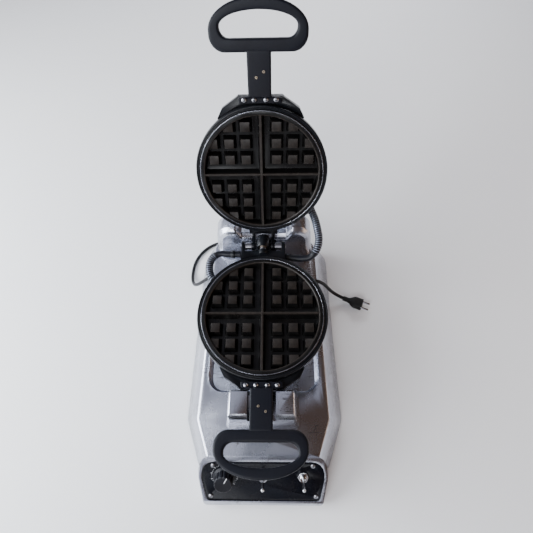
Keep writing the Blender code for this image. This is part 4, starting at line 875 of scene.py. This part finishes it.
# %% Hand out the finishes
bare_nodes = {"steel": ("bottom_cover", "flip_shaft", "hinge_pin_left", "hinge_pin_right", "hinge_spacer_left",
                        "hinge_spacer_right", "lower_heating_element", "lid_heating_element", "thermostat"),
              "brass": ("bearing_bush",), "chrome": ("toggle_switch_centre", "toggle_switch_right"),
              "rubber": ("foot_front_left", "foot_front_right", "foot_rear_left", "foot_rear_right")}
for slot_name, names in bare_nodes.items():
    for name in names:
        nodes[name].data.materials.clear()
        nodes[name].data.materials.append(looks[slot_name])
for shown in bpy.data.objects:
    if shown.type in ("MESH", "CURVE") and "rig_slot" in shown:
        shown.data.materials.clear()
        shown.data.materials.append(looks[shown["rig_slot"]])
special = {"white_print": ("knob_pointer", "dial_marks"), "painted_highlight_edge": ("lower_plate_bead", "lid_plate_bead")}
for look, names in special.items():
    for name in names:
        bpy.data.objects[name].data.materials[0] = looks[look]

# %% [markdown]
# ## Floor and light
# A plain pale floor and soft light. A large window-like panel on the left makes the left walls almost white, a
# weaker warm one on the right gives the right walls their brown cast. Bare metal mirrors the room: pale on the left
# and brown on the right, while the backdrop itself stays plain.

# %% Floor
floor_mesh = bpy.data.meshes.new("floor")
u = np.linspace(-4, 4, 9)
gx, gy = np.meshgrid(u, u)
floor_mesh.from_pydata(np.stack([gx, gy, np.full_like(gx, -0.0004)], -1).reshape(-1, 3).tolist(), [],
                       [q for q in quads(9, 9, False).tolist() if (q[1] % 9) != 0])
floor = bpy.data.objects.new("floor", floor_mesh)
bpy.context.scene.collection.objects.link(floor)
floor_look = finish("pale floor", (0.92, 0.92, 0.92), (0.90, 0.90, 0.91), (0.6, 0.7), 0.0, 2, 300, 0.0, 0.0)
floor_mesh.materials.append(floor_look)


# %% Lights
def soft_light(name, at, target, size, power, colour):
    data = bpy.data.lights.new(name, "AREA")
    data.shape, data.size, data.size_y = "RECTANGLE", *size
    data.energy, data.color = power, colour
    lamp = bpy.data.objects.new(name, data)
    lamp.location = at
    lamp.rotation_euler = (Vector(target) - Vector(at)).to_track_quat("-Z", "Y").to_euler()
    bpy.context.scene.collection.objects.link(lamp)
    return lamp


soft_light("window left", (-1.35, -0.15, 0.75), (0, 0, 0.1), (1.3, 1.1), 60, (0.90, 0.95, 1.0))
soft_light("front left", (-0.7, -1.4, 1.5), (0, 0, 0.1), (1.0, 0.8), 26, (0.95, 0.97, 1.0))
soft_light("rear", (0.3, 1.7, 0.9), (0, 0.1, 0.1), (1.0, 0.5), 14, (0.92, 0.95, 1.0))
soft_light("warm side", (1.4, -0.1, 0.5), (0, 0, 0.1), (0.9, 0.9), 4, (1.0, 0.74, 0.55))
world = bpy.data.worlds.new("room")
bpy.context.scene.world = world
world.use_nodes = True
sky = world.node_tree
direction = add(sky, "TexCoord").outputs["Generated"]
side = add(sky, "SeparateXYZ", [(0, direction)]).outputs[0]
blend = add(sky, "MapRange", [(0, side), (1, -0.10), (2, 0.06)]).outputs[0]
tone = add(sky, "Mix", [(0, blend), (6, (0.66, 0.68, 0.80, 1)), (7, (0.12, 0.075, 0.055, 1))], data_type="RGBA")
direct = add(sky, "LightPath").outputs["Is Camera Ray"]
seen = add(sky, "Mix", [(0, direct), (6, tone.outputs[2]), (7, (0.80, 0.81, 0.83, 1))], data_type="RGBA")
sky.links.new(seen.outputs[2], sky.nodes["Background"].inputs["Color"])
sky.nodes["Background"].inputs["Strength"].default_value = 0.75
